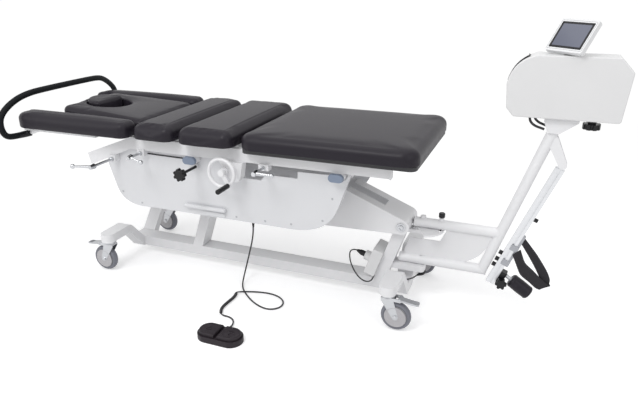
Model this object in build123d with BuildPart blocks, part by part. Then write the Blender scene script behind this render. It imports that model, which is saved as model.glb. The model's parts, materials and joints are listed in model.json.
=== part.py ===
from build123d import *
import os
from math import atan2, cos, degrees, hypot, radians, sin, tan

# Height-adjustable spinal traction table on four casters, with a swinging traction mast at its
# foot end. Working frame: X runs from head to foot, Y = 0 is the table's middle plane, the floor
# is Z = 0, and X = 0 is the stem of the head-end casters. The pieces are moved to the centre of
# the object's box as they are written.

# ---------------------------------------------------------------- driving dimensions, mm
wheelbase = 1385.0            # caster stem to caster stem, along X
track = 500.0                 # caster stem to caster stem, along Y
running_gap = 0.05            # radial clearance of a pin in its bore
seat_gap = 0.3                # clearance between pieces that move or rest on each other

# base frame
beam_low = 160.0              # underside of the raised ends of the cross beams
beam_thick = 40.0
beam_width = 70.0
beam_tip = 290.0              # half length of a cross beam
beam_slope_out = 130.0        # half width at which the slope starts to fall
spine_width = 80.0
spine_height = 50.0
spine_top = 97.0
column_depth = 50.0           # size of a column along X
column_width = 80.0           # size of a column along Y
column_lean = 19.0            # degrees from upright
pivot_height = 373.0          # lower lift pivots
head_pivot_x = 450.0
foot_pivot_x = 1385.0
lift_pin_r = 9.0

# casters
wheel_r = 62.5
wheel_width = 30.0
wheel_trail = 36.0
axle_r = 6.0
stem_cap_r = 27.0
fork_sheet = 3.5

# lift arms
arm_length = 360.0
arm_rise = 15.0               # degrees above level at rest
arm_width = 160.0
arm_sheet = 4.0
arm_eye_r = 33.0              # round end at the lower pivot
arm_top_eye_r = 36.0          # round end at the upper pivot

# table frame
rail_out = 249.0              # outer face of a side rail
rail_width = 30.0
rail_height = 54.0
rail_top = 690.0
rail_end_x = 1372.0
rail_bend_x = 203.0
rail_head_x = -52.0
rail_drop = 20.8              # degrees by which the head end of a rail falls
oval_long = 60.0
oval_high = 32.0
oval_reach = 262.0            # half length of an oval cross tube, without caps
oval_head_x = 511.0
oval_foot_x = 1167.0
oval_z = 621.0
sill_in = 84.0                # inner face of a lengthwise bar under the oval tubes
sill_wide = 30.0
sill_high = 32.0
hanger_thick = 8.0            # plates that hang from the sills to the lift arms
skirt_face = 232.0            # outer face of a skirt
skirt_sheet = 3.0
skirt_low = 361.0

# pads
pad_half = 325.0
pad_low = 704.0
pad_high = 770.0
chest_x = (262.0, 463.0)
waist_x = (484.0, 742.0)
leg_x = (764.0, 1492.0)
arm_pad_x = (-400.0, 236.0)
head_pad_x = (-245.0, 238.0)
head_pad_half = (187.0, 214.0)     # half width at the head end and at the shoulder end
head_pad_tilt = 3.6                # degrees up towards the head end
pad_gap = 9.0
face_hole = (216.0, 186.0)         # along X, along Y
face_hole_x = -112.0
plug_gap = 2.0

# grip bar at the head end
grip_r = 14.0
grip_tube_r = 10.0
grip_wide = 384.0                  # half width between the upright legs
grip_low = 657.0
grip_high = 849.0

# mast
tube_r = 21.0
tube_low_z = 203.0
tube_high_z = 376.0
mast_lean = 18.2
mast_foot_x = 1715.0
mast_top_z = 806.0
swing_x = 1460.0
swing_pin_r = 8.0
sector_r = 90.0
sector_thick = 8.0
lug_thick = 14.0
mount_bar_high = 28.0         # bar under the lower tube
mount_bar_wide = 60.0
plunger_reach = 76.0          # index slot from the swing axis
plunger_r = 4.5
swing_limit = 20.0            # degrees that the mast swings to each side
slot_gap = 0.3                # between the index pin and its curved slot
web_thick = 6.0

# traction unit
box_y = 56.0                  # half depth of the housing
box_low = 862.0
box_high = 1081.0
box_right = 2137.0
strap_slot_y = 24.0

# display
display_width = 152.0
display_height = 128.0
display_thick = 22.0
display_yaw = 40.0            # degrees, turned towards the head end
display_tilt = 36.0           # degrees back from upright

# folding rail with bolster and strap
fold_x = 1962.0
fold_z = 684.0
fold_lean = 21.6
fold_length = 572.0
fold_width = 34.0
fold_thick = 22.0

# foot pedal and its cord
pedal_x = 791.0
pedal_y = -567.0
pedal_length = 196.0
pedal_width = 98.0
pedal_high = 38.0
cord_d = 7.0
coil_d = 14.0

pieces = {}


def keep(name, builder):
    """Label a finished piece and hold it until the common origin is known."""
    builder.part.label = name
    pieces[name] = builder.part


def lean_x(z, foot_x, foot_z, angle):
    """X at height z on a line that rises from (foot_x, foot_z) and leans towards +X."""
    return foot_x + (z - foot_z) * tan(radians(angle))


# ---------------------------------------------------------------- base frame
column_root = spine_top - 10  # the columns run a little way into the spine
column_feet = {"head": lean_x(column_root, head_pivot_x, pivot_height, column_lean),
               "foot": lean_x(column_root, foot_pivot_x, pivot_height, column_lean)}
beam_top = beam_low + beam_thick
spine_low = spine_top - spine_height
slope_in = spine_width / 2 + 2
tray_x = 716.0                # far end of the tray that carries the pedal socket
tray_top = 300.0
tray_thick = 5.0
tray_y = -62.0
bracket_top = tube_low_z - tube_r - seat_gap
bracket_end = swing_x + 20.0
sector_top = tube_high_z - tube_r - seat_gap
lug_top = sector_top - sector_thick
lug_root = lean_x(lug_top, foot_pivot_x, pivot_height, column_lean) + 8
sector_angle = 75.0
column_half = column_depth / 2 / cos(radians(column_lean))
actuator_x = 560.0
actuator_z = 338.0
actuator_pin_r = 6.0
actuator_ear_gap = 38.0

with BuildPart() as base_frame:
    for beam_x in (0, wheelbase):
        with BuildSketch(Plane.YZ.offset(beam_x)) as beam_profile:
            with BuildLine():
                edge = Polyline((0, spine_top), (slope_in, spine_top), (beam_slope_out, beam_top),
                                (beam_tip, beam_top), (beam_tip, beam_low),
                                (beam_slope_out + 6, beam_low), (slope_in + 6, spine_low),
                                (0, spine_low))
                mirror(edge, about=Plane.YZ)
            make_face()
        extrude(amount=beam_width / 2, both=True)
    fillet(base_frame.edges().filter_by(Axis.Z).filter_by(
        lambda e: abs(e.center().Y) > beam_tip - 1), beam_width / 2 - 1)
    fillet(base_frame.edges().filter_by(Axis.X).filter_by(
        lambda e: abs(abs(e.center().Y) - beam_slope_out) < 1 and e.center().Z > beam_top - 1), 30)
    with BuildSketch(Plane.XY.offset(spine_low)):
        with Locations((wheelbase / 2, 0)):
            Rectangle(wheelbase, spine_width)
    extrude(amount=spine_height)
    # leaning columns, rounded about the lift pivots
    for pivot_x, foot_x in ((head_pivot_x, column_feet["head"]), (foot_pivot_x, column_feet["foot"])):
        with BuildSketch(Plane.XZ):
            with BuildLine():
                across = Vector(cos(radians(column_lean)), -sin(radians(column_lean)))
                top = Vector(pivot_x, pivot_height)
                left = top - across * (column_depth / 2)
                right = top + across * (column_depth / 2)
                Polyline((left.X, left.Y), (foot_x - column_half, column_root),
                         (foot_x + column_half, column_root), (right.X, right.Y))
                Line((right.X, right.Y), (left.X, left.Y))
            make_face()
            with Locations((pivot_x, pivot_height)):
                Circle(column_depth / 2)
        extrude(amount=column_width / 2, both=True)
        with Locations(Plane.XZ):
            with Locations((pivot_x, pivot_height)):
                Cylinder(lift_pin_r + running_gap, column_width * 2, mode=Mode.SUBTRACT)
    # bar that carries the mast's lower tube, with the lower pin of the swing axis
    bar_x = lean_x(bracket_top - mount_bar_high / 2, foot_pivot_x, pivot_height, column_lean)
    with BuildSketch(Plane.XY.offset(bracket_top - mount_bar_high)):
        with Locations(((bar_x + bracket_end) / 2, 0)):
            Rectangle(bracket_end - bar_x, mount_bar_wide)
        fillet(vertices().filter_by(lambda v: v.X > bracket_end - 1), 18)
    extrude(amount=mount_bar_high)
    with Locations((swing_x, 0, bracket_top)):
        Cylinder(swing_pin_r, 20, align=(Align.CENTER, Align.CENTER, Align.MIN))
    # lug and index sector under the mast's upper tube
    with BuildSketch(Plane.XY.offset(lug_top - lug_thick)):
        with BuildLine():
            Polyline((lug_root, -26), (swing_x, -22), (swing_x, 22), (lug_root, 26), close=True)
        make_face()
        with Locations((swing_x, 0)):
            Circle(22)
    extrude(amount=lug_thick)
    with BuildSketch(Plane.XY.offset(lug_top)):
        with BuildLine():
            a = radians(sector_angle)
            rim = ThreePointArc((swing_x + sector_r * cos(a), -sector_r * sin(a)),
                                (swing_x + sector_r, 0),
                                (swing_x + sector_r * cos(a), sector_r * sin(a)))
            back = ThreePointArc((swing_x - 6, 22), (swing_x - 24, 0), (swing_x - 6, -22))
            Line(rim @ 1, back @ 0)
            Line(back @ 1, rim @ 0)
        make_face()
        # curved slot in which the index pin travels, a little longer than the swing
        with BuildLine(mode=Mode.PRIVATE) as slot_line:
            CenterArc((swing_x, 0), plunger_reach, -swing_limit - 0.5, 2 * swing_limit + 1)
        SlotArc(slot_line.edges()[0], 2 * (plunger_r + slot_gap), mode=Mode.SUBTRACT)
    extrude(amount=sector_thick)
    # swing bolt through the tube, with its washer, and the nut that holds the lug
    with Locations((swing_x, 0, sector_top)):
        Cylinder(swing_pin_r, 2 * tube_r + 9, align=(Align.CENTER, Align.CENTER, Align.MIN))
    with BuildSketch(Plane.XY.offset(sector_top + 2 * tube_r + 2)):
        with Locations((swing_x, 0)):
            RegularPolygon(12, 6)
    extrude(amount=8)
    with BuildSketch(Plane.XY.offset(lug_top)):
        with Locations((swing_x - 36, 0)):
            RegularPolygon(8, 6)
    extrude(amount=5)
    # tray on the head column: actuator ears above, pedal socket below
    tray_start = lean_x(tray_top, column_feet["head"], column_root, column_lean)
    with BuildSketch(Plane.XY.offset(tray_top - tray_thick)):
        with Locations(((tray_start + tray_x) / 2, 0)):
            Rectangle(tray_x - tray_start, column_width - 16)
        with Locations((tray_x - 30, tray_y)):
            Rectangle(60, 60)
        fillet(vertices().filter_by(lambda v: v.X > tray_x - 5), 12)
    extrude(amount=tray_thick)
    for side in (1, -1):
        with BuildSketch(Plane.XZ.offset(side * (actuator_ear_gap / 2 + 3))):
            with BuildLine():
                Polyline((actuator_x - 30, tray_top - 1), (actuator_x + 30, tray_top - 1),
                         (actuator_x + 13, actuator_z), (actuator_x - 13, actuator_z), close=True)
            make_face()
            with Locations((actuator_x, actuator_z)):
                Circle(13)
                Circle(actuator_pin_r + running_gap, mode=Mode.SUBTRACT)
        extrude(amount=3, both=True)
keep("base_frame", base_frame)

# ---------------------------------------------------------------- control box on the foot column
ctl_length = 125.0
ctl_depth = 48.0
ctl_half = 58.0
ctl_low = 101.0
socket_y = -30.0
socket_out = 26.0
slope = Vector(sin(radians(column_lean)), cos(radians(column_lean)))
across = Vector(cos(radians(column_lean)), -sin(radians(column_lean)))
foot_axis = Vector(lean_x(ctl_low, foot_pivot_x, pivot_height, column_lean), ctl_low)
ctl_corner = foot_axis - across * (column_depth / 2 + seat_gap)
ctl_corner = Vector(ctl_corner.X, ctl_corner.Y)
with BuildPart() as control_box:
    with BuildSketch(Plane.XZ):
        with BuildLine():
            c0 = ctl_corner
            c1 = c0 - across * ctl_depth
            c2 = c1 + slope * ctl_length
            c3 = c0 + slope * ctl_length
            Polyline((c0.X, c0.Y), (c1.X, c1.Y), (c2.X, c2.Y), (c3.X, c3.Y), close=True)
        make_face()
    extrude(amount=ctl_half, both=True)
    fillet(control_box.edges().filter_by(Axis.Y), 4)
    # round socket housing on its head-side face
    socket_mid = ctl_corner - across * ctl_depth + slope * (ctl_length * 0.55)
    socket_plane = Plane(origin=(socket_mid.X, socket_y, socket_mid.Y), x_dir=(0, 1, 0),
                         z_dir=(-across.X, 0, -across.Y))
    with BuildSketch(socket_plane):
        Circle(22)
    extrude(amount=socket_out)
    fillet(control_box.faces().sort_by(Axis.X)[0].edges(), 3)
keep("control_box", control_box)


# ---------------------------------------------------------------- cords held between housings
def bend_radii(points, share=0.45):
    """Radius of the arc at each inner point: a share of the shorter run over tan(turn / 2)."""
    radii = []
    for before, here, after in zip(points, points[1:], points[2:]):
        run_in = Vector(*here) - Vector(*before)
        run_out = Vector(*after) - Vector(*here)
        turn = radians(run_in.get_angle(run_out))
        radii.append(share * min(run_in.length, run_out.length) / tan(turn / 2))
    return radii


def cord_tube(name, points, diameter):
    """Sweep a round cord along straight runs joined by tangent arcs, and print its bends."""
    radii = bend_radii(points)
    with BuildLine(mode=Mode.PRIVATE) as path:
        FilletPolyline(*points, radius=radii)
    start = Vector(*points[1]) - Vector(*points[0])
    with BuildSketch(Plane(origin=points[0], z_dir=tuple(start)), mode=Mode.PRIVATE) as ring:
        Circle(diameter / 2)
    sweep(sections=ring.sketch, path=path.line)
    print(name, "length", round(sum(e.length for e in path.edges()), 1), "radii", [round(r, 1) for r in radii])


plug_long = 40.0
plug_r = 13.0
loop_d = 6.0
plug_root = socket_mid - across * socket_out
plug_tip = plug_root - across * plug_long
loop_route = [(plug_tip.X, socket_y, plug_tip.Y), (plug_tip.X - 14, socket_y - 2, plug_tip.Y + 3),
              (1152, -36, 206), (1151, -42, 188), (1156, -48, 164), (1168, -53, 138), (1184, -57, 113),
              (1204, -59, 92), (1227, -60, 80), (1250, -60, 82), (1264, -56, 96), (1268, -50, 114)]
clamp_route = [(1452, -8, 130), (1440, -10, 117), (1424, -15, 108), (1404, -20, 102.5),
               (1380, -24, spine_top + loop_d / 2), (1351, -27, spine_top + loop_d / 2),
               (1322, -28, spine_top + loop_d / 2)]
socket_d = 16.0               # round socket of the pedal cord under the tray
with BuildPart() as connectors:
    # plug of the control box and its loop back into the box from below
    for centre, size in ((plug_root, plug_r), (plug_tip, loop_d / 2 + 2)):
        with BuildSketch(Plane(origin=(centre.X, socket_y, centre.Y), x_dir=(0, 1, 0),
                               z_dir=(-across.X, 0, -across.Y))):
            Circle(size)
    loft()
    cord_tube("control_loop", loop_route, loop_d)
    # tapered connector under the mast's mounting bar and its lead to the foot of the column
    for centre, lean, size in (((1474, -8, bracket_top - mount_bar_high), 0, 12), ((1450, -8, 128), -1, 5)):
        with BuildSketch(Plane(origin=centre, x_dir=(0, 1, 0), z_dir=(lean, 0, -1))):
            Circle(size)
    loft()
    cord_tube("mast_lead", clamp_route, loop_d)
    with Locations((tray_x - 30, tray_y, tray_top - tray_thick)):
        Cylinder(socket_d / 2, 14, align=(Align.CENTER, Align.CENTER, Align.MAX))
keep("connectors", connectors)

# ---------------------------------------------------------------- casters
axle_z = wheel_r
fork_in = wheel_width / 2 + 1.0
cover_r = 45.0
fork_top = 138.0
pedal_root = 52.0             # pivot of the brake pedal, from the stem
pedal_pivot_z = 140.0
pedal_tip = 128.0
caster_spots = {"hn": (0, -1, -1), "hf": (0, 1, -1), "fn": (wheelbase, -1, 1), "ff": (wheelbase, 1, 1)}
for tag, (stem_x, side, trail) in caster_spots.items():
    stem_y = side * track / 2
    axle_x = stem_x + trail * wheel_trail
    with BuildPart() as fork:
        # swivel head under the beam, bridge and the two legs down to the axle
        with Locations((stem_x, stem_y, beam_low - seat_gap)):
            Cylinder(stem_cap_r, 10, align=(Align.CENTER, Align.CENTER, Align.MAX))
            Cylinder(stem_cap_r - 7, 20, align=(Align.CENTER, Align.CENTER, Align.MAX))
        for face_y in (-fork_in - fork_sheet, fork_in):
            with BuildSketch(Plane.XZ.offset(-(stem_y + face_y + fork_sheet))):
                with Locations((stem_x, fork_top)):
                    Rectangle(2 * stem_cap_r - 4, 12)
                with Locations((axle_x, axle_z)):
                    Circle(13)
                make_hull()
                with Locations((stem_x + trail * pedal_root / 2, pedal_pivot_z)):
                    Rectangle(pedal_root, 14)
                with Locations((stem_x + trail * pedal_root, pedal_pivot_z)):
                    Circle(8)
                    Circle(4 + running_gap, mode=Mode.SUBTRACT)
            extrude(amount=fork_sheet)
        with BuildSketch(Plane.XY.offset(fork_top)):
            with Locations((stem_x, stem_y)):
                Rectangle(2 * stem_cap_r - 4, 2 * (fork_in + fork_sheet))
        extrude(amount=5)
        # thread guards beside the wheel and the axle through it
        for out in (1, -1):
            with BuildSketch(Plane.XZ.offset(-(stem_y + out * (fork_in - 0.4)))):
                with Locations((axle_x, axle_z)):
                    Circle(cover_r)
            extrude(amount=-out * 2.2)
        with Locations(Plane.XZ.offset(-stem_y)):
            with Locations((axle_x, axle_z)):
                Cylinder(axle_r, 2 * (fork_in + fork_sheet) + 6)
    keep("caster_fork_" + tag, fork)

    with BuildPart() as wheel:
        with BuildSketch(Plane.XY.offset(axle_z)):
            with BuildLine():
                half = wheel_width / 2
                Polyline((axle_x + axle_r + running_gap, stem_y - half),
                         (axle_x + wheel_r - 7, stem_y - half))
                ThreePointArc((axle_x + wheel_r - 7, stem_y - half), (axle_x + wheel_r, stem_y),
                              (axle_x + wheel_r - 7, stem_y + half))
                Polyline((axle_x + wheel_r - 7, stem_y + half),
                         (axle_x + axle_r + running_gap, stem_y + half),
                         (axle_x + axle_r + running_gap, stem_y - half))
            make_face()
        revolve(axis=Axis((axle_x, stem_y, axle_z), (0, 1, 0)))
    keep("caster_wheel_" + tag, wheel)

    with BuildPart() as brake:
        with BuildSketch(Plane.XZ.offset(-stem_y)):
            with BuildLine():
                r = pedal_pivot_z
                Polyline((stem_x + trail * (pedal_root - 7), r + 5), (stem_x + trail * 98, r - 3),
                         (stem_x + trail * pedal_tip, r - 6), (stem_x + trail * pedal_tip, r - 13),
                         (stem_x + trail * 98, r - 11), (stem_x + trail * (pedal_root - 7), r - 5),
                         close=True)
            make_face()
        extrude(amount=fork_in - 1.2, both=True)
        with Locations(Plane.XZ.offset(-stem_y)):
            with Locations((stem_x + trail * pedal_root, r)):
                Cylinder(4, 2 * (fork_in + fork_sheet) + 1)
        chamfer(brake.edges().filter_by(Axis.Z).filter_by(
            lambda e: abs(e.center().X - stem_x) > pedal_tip - 1), 5)
    keep("brake_pedal_" + tag, brake)

# ---------------------------------------------------------------- lift arms
arm_run = arm_length * cos(radians(arm_rise))
arm_up = arm_length * sin(radians(arm_rise))
rod_pin = (-60.0, 36.0)       # actuator pin from the foot arm's pivot
rod_pin_r = 5.0
lug_gap = 30.0                # between the actuator lugs of the foot arm


def arm_outline(pivot_x):
    """Side outline of a lift arm, as a sketch in the XZ plane with its pivot at pivot_x."""
    with BuildSketch(mode=Mode.PRIVATE) as outline:
        with Locations((pivot_x, pivot_height)):
            Circle(arm_eye_r)
        with Locations((pivot_x - arm_run, pivot_height + arm_up)):
            Circle(arm_top_eye_r)
        with Locations((pivot_x - arm_run + 14, pivot_height - 22)):
            Circle(20)
        with Locations((pivot_x - arm_run + 108, pivot_height + 126)):
            Circle(7)
        make_hull()
    return outline.sketch


def lift_arm(name, pivot_x, with_lugs):
    """Folded sheet channel that swings on a column and carries the table frame at its other end."""
    with BuildPart() as arm:
        for face_y in (-arm_width / 2, arm_width / 2 - arm_sheet):
            with BuildSketch(Plane.XZ.offset(-(face_y + arm_sheet))):
                add(arm_outline(pivot_x))
            extrude(amount=arm_sheet)
        with BuildSketch(Plane.XZ):
            add(arm_outline(pivot_x))
            offset(amount=-arm_sheet, mode=Mode.SUBTRACT)
            with BuildLine() as keep_zone:
                Polyline((pivot_x, pivot_height), (pivot_x + 70, pivot_height - 23),
                         (pivot_x + 70, pivot_height + 190), (pivot_x - arm_run + 110, pivot_height + 190),
                         (pivot_x - arm_run + 110, pivot_height + 70), close=True)
            make_face(mode=Mode.INTERSECT)
        extrude(amount=arm_width / 2 - arm_sheet / 2, both=True)
        # slot in the web for the actuator
        if with_lugs:
            with BuildSketch(Plane.XY.offset(pivot_height + 30)):
                with Locations((pivot_x - 171, 0)):
                    Rectangle(178, 60)
            extrude(amount=140, mode=Mode.SUBTRACT)
            for side in (1, -1):
                with BuildSketch(Plane.XZ.offset(side * (lug_gap / 2 + 3))):
                    with Locations((pivot_x + rod_pin[0], pivot_height + rod_pin[1])):
                        Circle(11)
                    with Locations((pivot_x + rod_pin[0] + 14, pivot_height + rod_pin[1] + 10)):
                        Rectangle(12, 8)
                    make_hull()
                extrude(amount=3, both=True)
            with Locations(Plane.XZ):
                with Locations((pivot_x + rod_pin[0], pivot_height + rod_pin[1])):
                    Cylinder(rod_pin_r, lug_gap + 14)
            for side in (1, -1):
                with BuildSketch(Plane.XZ.offset(side * (lug_gap / 2 + 3))):
                    with BuildLine():
                        px, pz = pivot_x + rod_pin[0], pivot_height + rod_pin[1]
                        Polyline((px - 2, pz + 8), (px + 26, pz - 2), (px + 30, pz + 9),
                                 (px + 2, pz + 20), close=True)
                    make_face()
                extrude(amount=3, both=True)
        # pin through the column, spacer tubes beside it, and stub pins into the hangers
        with Locations(Plane.XZ):
            with Locations((pivot_x, pivot_height)):
                Cylinder(lift_pin_r, arm_width + 6)
                for side in (1, -1):
                    with Locations((0, 0, side * (column_width / 2 + arm_width / 2) / 2)):
                        Cylinder(lift_pin_r + 6, (arm_width - column_width) / 2 - 2 * seat_gap)
            for side in (1, -1):
                with Locations((pivot_x - arm_run, pivot_height + arm_up,
                                side * (arm_width / 2 - arm_sheet + (sill_in + hanger_thick + 3)) / 2)):
                    Cylinder(lift_pin_r, sill_in + hanger_thick + 3 - arm_width / 2 + arm_sheet)
    keep(name, arm)


lift_arm("arm_head", head_pivot_x, False)
lift_arm("arm_foot", foot_pivot_x, True)

# ---------------------------------------------------------------- linear actuator
pin_x = foot_pivot_x + rod_pin[0]
pin_z = pivot_height + rod_pin[1]
actuator_slope = degrees(atan2(pin_z - actuator_z, pin_x - actuator_x))
actuator_dir = Vector(cos(radians(actuator_slope)), 0, sin(radians(actuator_slope)))
body_r = 25.0
body_bore_r = 18.5
rod_r = 10.0
body_long = 585.0
rod_long = 330.0
body_start = 30.0
rod_plane = Plane(origin=(pin_x, 0, pin_z), x_dir=(0, 1, 0), z_dir=tuple(-actuator_dir))
body_plane = Plane(origin=(actuator_x, 0, actuator_z), x_dir=(0, 1, 0), z_dir=tuple(actuator_dir))
with BuildPart() as actuator_body:
    with BuildSketch(body_plane.offset(body_start)):
        Circle(body_r)
    extrude(amount=body_long - body_start)
    fillet(actuator_body.edges().sort_by(Axis.X)[0], 6)
    with BuildSketch(body_plane.offset(body_long)):
        Circle(body_bore_r)
    extrude(amount=-(rod_long + 40), mode=Mode.SUBTRACT)
    # motor under the rear end and the eye on the tray's ears
    with BuildSketch(body_plane):
        Rectangle(actuator_ear_gap - 2, 22)
    extrude(amount=body_start + 4)
    with Locations(Plane.XZ):
        with Locations((actuator_x, actuator_z)):
            Cylinder(11, actuator_ear_gap - 2)
            Cylinder(actuator_pin_r, actuator_ear_gap + 14)
keep("actuator_body", actuator_body)
with BuildPart() as actuator_rod:
    with BuildSketch(rod_plane.offset(8)):
        Circle(rod_r)
    extrude(amount=rod_long)
    with Locations(Plane.XZ):
        with Locations((pin_x, pin_z)):
            Cylinder(10.5, lug_gap - 2)
            Cylinder(rod_pin_r + running_gap, lug_gap, mode=Mode.SUBTRACT)
keep("actuator_rod", actuator_rod)

# ---------------------------------------------------------------- table frame
rail_in = rail_out - rail_width
rail_low = rail_top - rail_height
drop = tan(radians(rail_drop))
under_drop = 0.42             # slope of the rail's underside beyond its bend
under_bend = rail_bend_x - 10
seat_top = pad_low - seat_gap
sill_top = oval_z - oval_high / 2 + 1
hinge_x = 236.0               # axis of the head section, through the rails
hinge_z = 672.0
hinge_pin_r = 8.0
hanger_r = 30.0
block_y = 262.0               # outer face of the blocks that carry the controls
lever_axes = {"head": (98.0, 584.0), "slide": (258.0, 627.0), "leg": (856.0, 626.0)}
lever_pin_r = 6.0
with BuildPart() as table_frame:
    for side in (1, -1):
        # side rail: level, then bent down at the head end
        with BuildSketch(Plane.XZ.offset(-side * (rail_in + rail_out) / 2)):
            with BuildLine():
                fall = rail_bend_x - rail_head_x
                tip = (rail_head_x, rail_top - fall * drop)
                heel = (tip[0] + 13, rail_low - (under_bend - tip[0] - 13) * under_drop)
                Polyline((rail_end_x, rail_top), (rail_bend_x, rail_top), tip, heel,
                         (under_bend, rail_low), (rail_end_x, rail_low), close=True)
            make_face()
            with Locations((hinge_x, hinge_z)):
                Circle(hinge_pin_r + running_gap, mode=Mode.SUBTRACT)
        extrude(amount=rail_width / 2, both=True)
        # end plate of the rail
        with Locations((rail_end_x, side * (rail_in + rail_out) / 2, rail_low - 3)):
            Box(5, rail_width + 6, rail_height + 3, align=(Align.MIN, Align.CENTER, Align.MIN))
        # lengthwise sill with the hangers of the lift arms
        with BuildSketch(Plane.XZ.offset(-side * (sill_in + sill_wide / 2))):
            with Locations((630, sill_top - sill_high / 2)):
                Rectangle(1100, sill_high)
        extrude(amount=sill_wide / 2, both=True)
        for pivot_x in (head_pivot_x, foot_pivot_x):
            with BuildSketch(Plane.XZ.offset(-side * (sill_in + hanger_thick / 2))):
                with Locations((pivot_x - arm_run, pivot_height + arm_up)):
                    Circle(hanger_r)
                with Locations((pivot_x - arm_run, sill_top - 10)):
                    Rectangle(2 * hanger_r + 40, 20)
                make_hull()
                with Locations((pivot_x - arm_run, pivot_height + arm_up)):
                    Circle(lift_pin_r + running_gap, mode=Mode.SUBTRACT)
            extrude(amount=hanger_thick / 2, both=True)
        # blocks that carry the clamp levers and the star knob
        for spot, width in ((lever_axes["head"], 30), (lever_axes["slide"], 34), (lever_axes["leg"], 44)):
            if side < 0:
                top_z = rail_low - max(0, under_bend - spot[0]) * under_drop + 4
                with BuildSketch(Plane.XZ.offset(skirt_face + seat_gap)):
                    with Locations((spot[0], (top_z + spot[1] - 12) / 2)):
                        Rectangle(width, top_z - spot[1] + 12)
                    with Locations(spot):
                        Circle(lever_pin_r + running_gap, mode=Mode.SUBTRACT)
                extrude(amount=block_y - skirt_face)
    # oval cross tubes
    for tube_x in (oval_head_x, oval_foot_x):
        with BuildSketch(Plane.XZ):
            with Locations((tube_x, oval_z)):
                SlotOverall(oval_long, oval_high)
        extrude(amount=oval_reach, both=True)
    # cross bars and boards under the chest and waist pads
    for start, end in (chest_x, waist_x):
        with Locations(((start + end) / 2, 0, seat_top)):
            Box(end - start - 18, 2 * rail_in + 40, 14, align=(Align.CENTER, Align.CENTER, Align.MAX))
    for bar_x in (300.0, 700.0, 1330.0):
        with BuildSketch(Plane.YZ.offset(bar_x)):
            with Locations((0, rail_top - 27)):
                Rectangle(2 * rail_in + 10, 40)
        extrude(amount=20, both=True)
keep("table_frame", table_frame)

cap_long = 13.0
with BuildPart() as tube_caps:
    for tube_x in (oval_head_x, oval_foot_x):
        for side in (1, -1):
            with BuildSketch(Plane.XZ.offset(-side * oval_reach)):
                with Locations((tube_x, oval_z)):
                    SlotOverall(oval_long + 3, oval_high + 3)
            extrude(amount=-side * cap_long, taper=8)
keep("tube_caps", tube_caps)


star_axis = (523.0, 588.0)      # spindle of the star knob
star_y = -350.0
star_r = 27.0
star_spindle_r = 6.0


def skirt(name, side, with_bar):
    """Side cover hung under a rail: a sheet with a folded edge towards the foot."""
    with BuildPart() as cover:
        with BuildSketch(Plane.XZ.offset(-side * skirt_face)):
            with BuildLine():
                rail_run = Line((47, rail_low - (under_bend - 47) * under_drop), (under_bend, rail_low))
                top = Polyline(rail_run @ 1, (700, rail_low), (700, 560), (828, 560), (850, 587),
                               (992, 587), (993, 616), (1134, 618), (1134, rail_low), (1218, rail_low))
                down = Line(top @ 1, (1166, 488))
                low = Spline(down @ 1, (1133, 428), (1083, 387), (1000, skirt_low + 3), (940, skirt_low),
                             tangents=((-0.36, -0.93), (-1, 0)))
                flat = Line(low @ 1, (295, skirt_low))
                rise = Spline(flat @ 1, (205, 359), (155, 366), (107, 392), (76, 445),
                              tangents=((-1, 0), (-0.3, 1)))
                Polyline(rise @ 1, (47, 544), rail_run @ 0)
            make_face()
            for tube_x in (oval_head_x, oval_foot_x):
                with Locations((tube_x, oval_z + 4)):
                    SlotOverall(oval_long + 12, oval_high + 14, mode=Mode.SUBTRACT)
        extrude(amount=side * skirt_sheet)
        # folded edge along the foot end
        with BuildSketch(Plane.XZ.offset(-side * skirt_face)):
            with BuildLine():
                Polyline((1216, rail_low), (1166, 488), (1161, 490), (1211, rail_low), close=True)
            make_face()
        extrude(amount=side * 26)
        if with_bar:
            with BuildSketch(Plane.YZ.offset(453)):
                with Locations((side * (skirt_face + 9.5), 402)):
                    Circle(10)
            extrude(amount=201)
            with BuildSketch(Plane.XZ.offset(-side * skirt_face)):
                with Locations((592, 376)):
                    Rectangle(105, 18)
            extrude(amount=-side * 3)
            # threaded boss of the star knob
            with BuildSketch(Plane.XZ.offset(-side * (skirt_face - skirt_sheet))):
                with Locations(star_axis):
                    Circle(14)
            extrude(amount=-side * 14)
            with BuildSketch(Plane.XZ.offset(-side * (skirt_face - skirt_sheet))):
                with Locations(star_axis):
                    Circle(star_spindle_r + running_gap)
            extrude(amount=-side * 14, mode=Mode.SUBTRACT)
    keep(name, cover)


skirt("skirt_front", -1, True)
skirt("skirt_rear", 1, False)

# ---------------------------------------------------------------- slide crank
wheel_axis = (684.0, 597.0)
wheel_plane_y = -300.0
ring_r = 58.5
ring_tube = 7.5
shaft_r = 8.0
housing_front = -270.0
grip_spot = (wheel_axis[0] + 30, wheel_axis[1] - 50)
with BuildPart() as crank_housing:
    with BuildSketch(Plane.XZ.offset(skirt_face + seat_gap)):
        with BuildLine():
            Polyline((656, rail_low), (764, rail_low), (752, 566), (738, 552), (714, 552), (700, 566),
                     close=True)
        make_face()
        fillet(vertices().filter_by(lambda v: v.Y < 560), 6)
    extrude(amount=-housing_front - skirt_face - seat_gap)
    with BuildSketch(Plane.XZ.offset(-housing_front)):
        with Locations(wheel_axis):
            Circle(17)
    extrude(amount=10)
    with BuildSketch(Plane.XZ.offset(-housing_front + 10)):
        with Locations(wheel_axis):
            Circle(shaft_r + running_gap)
    extrude(amount=-30, mode=Mode.SUBTRACT)
keep("crank_housing", crank_housing)
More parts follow.
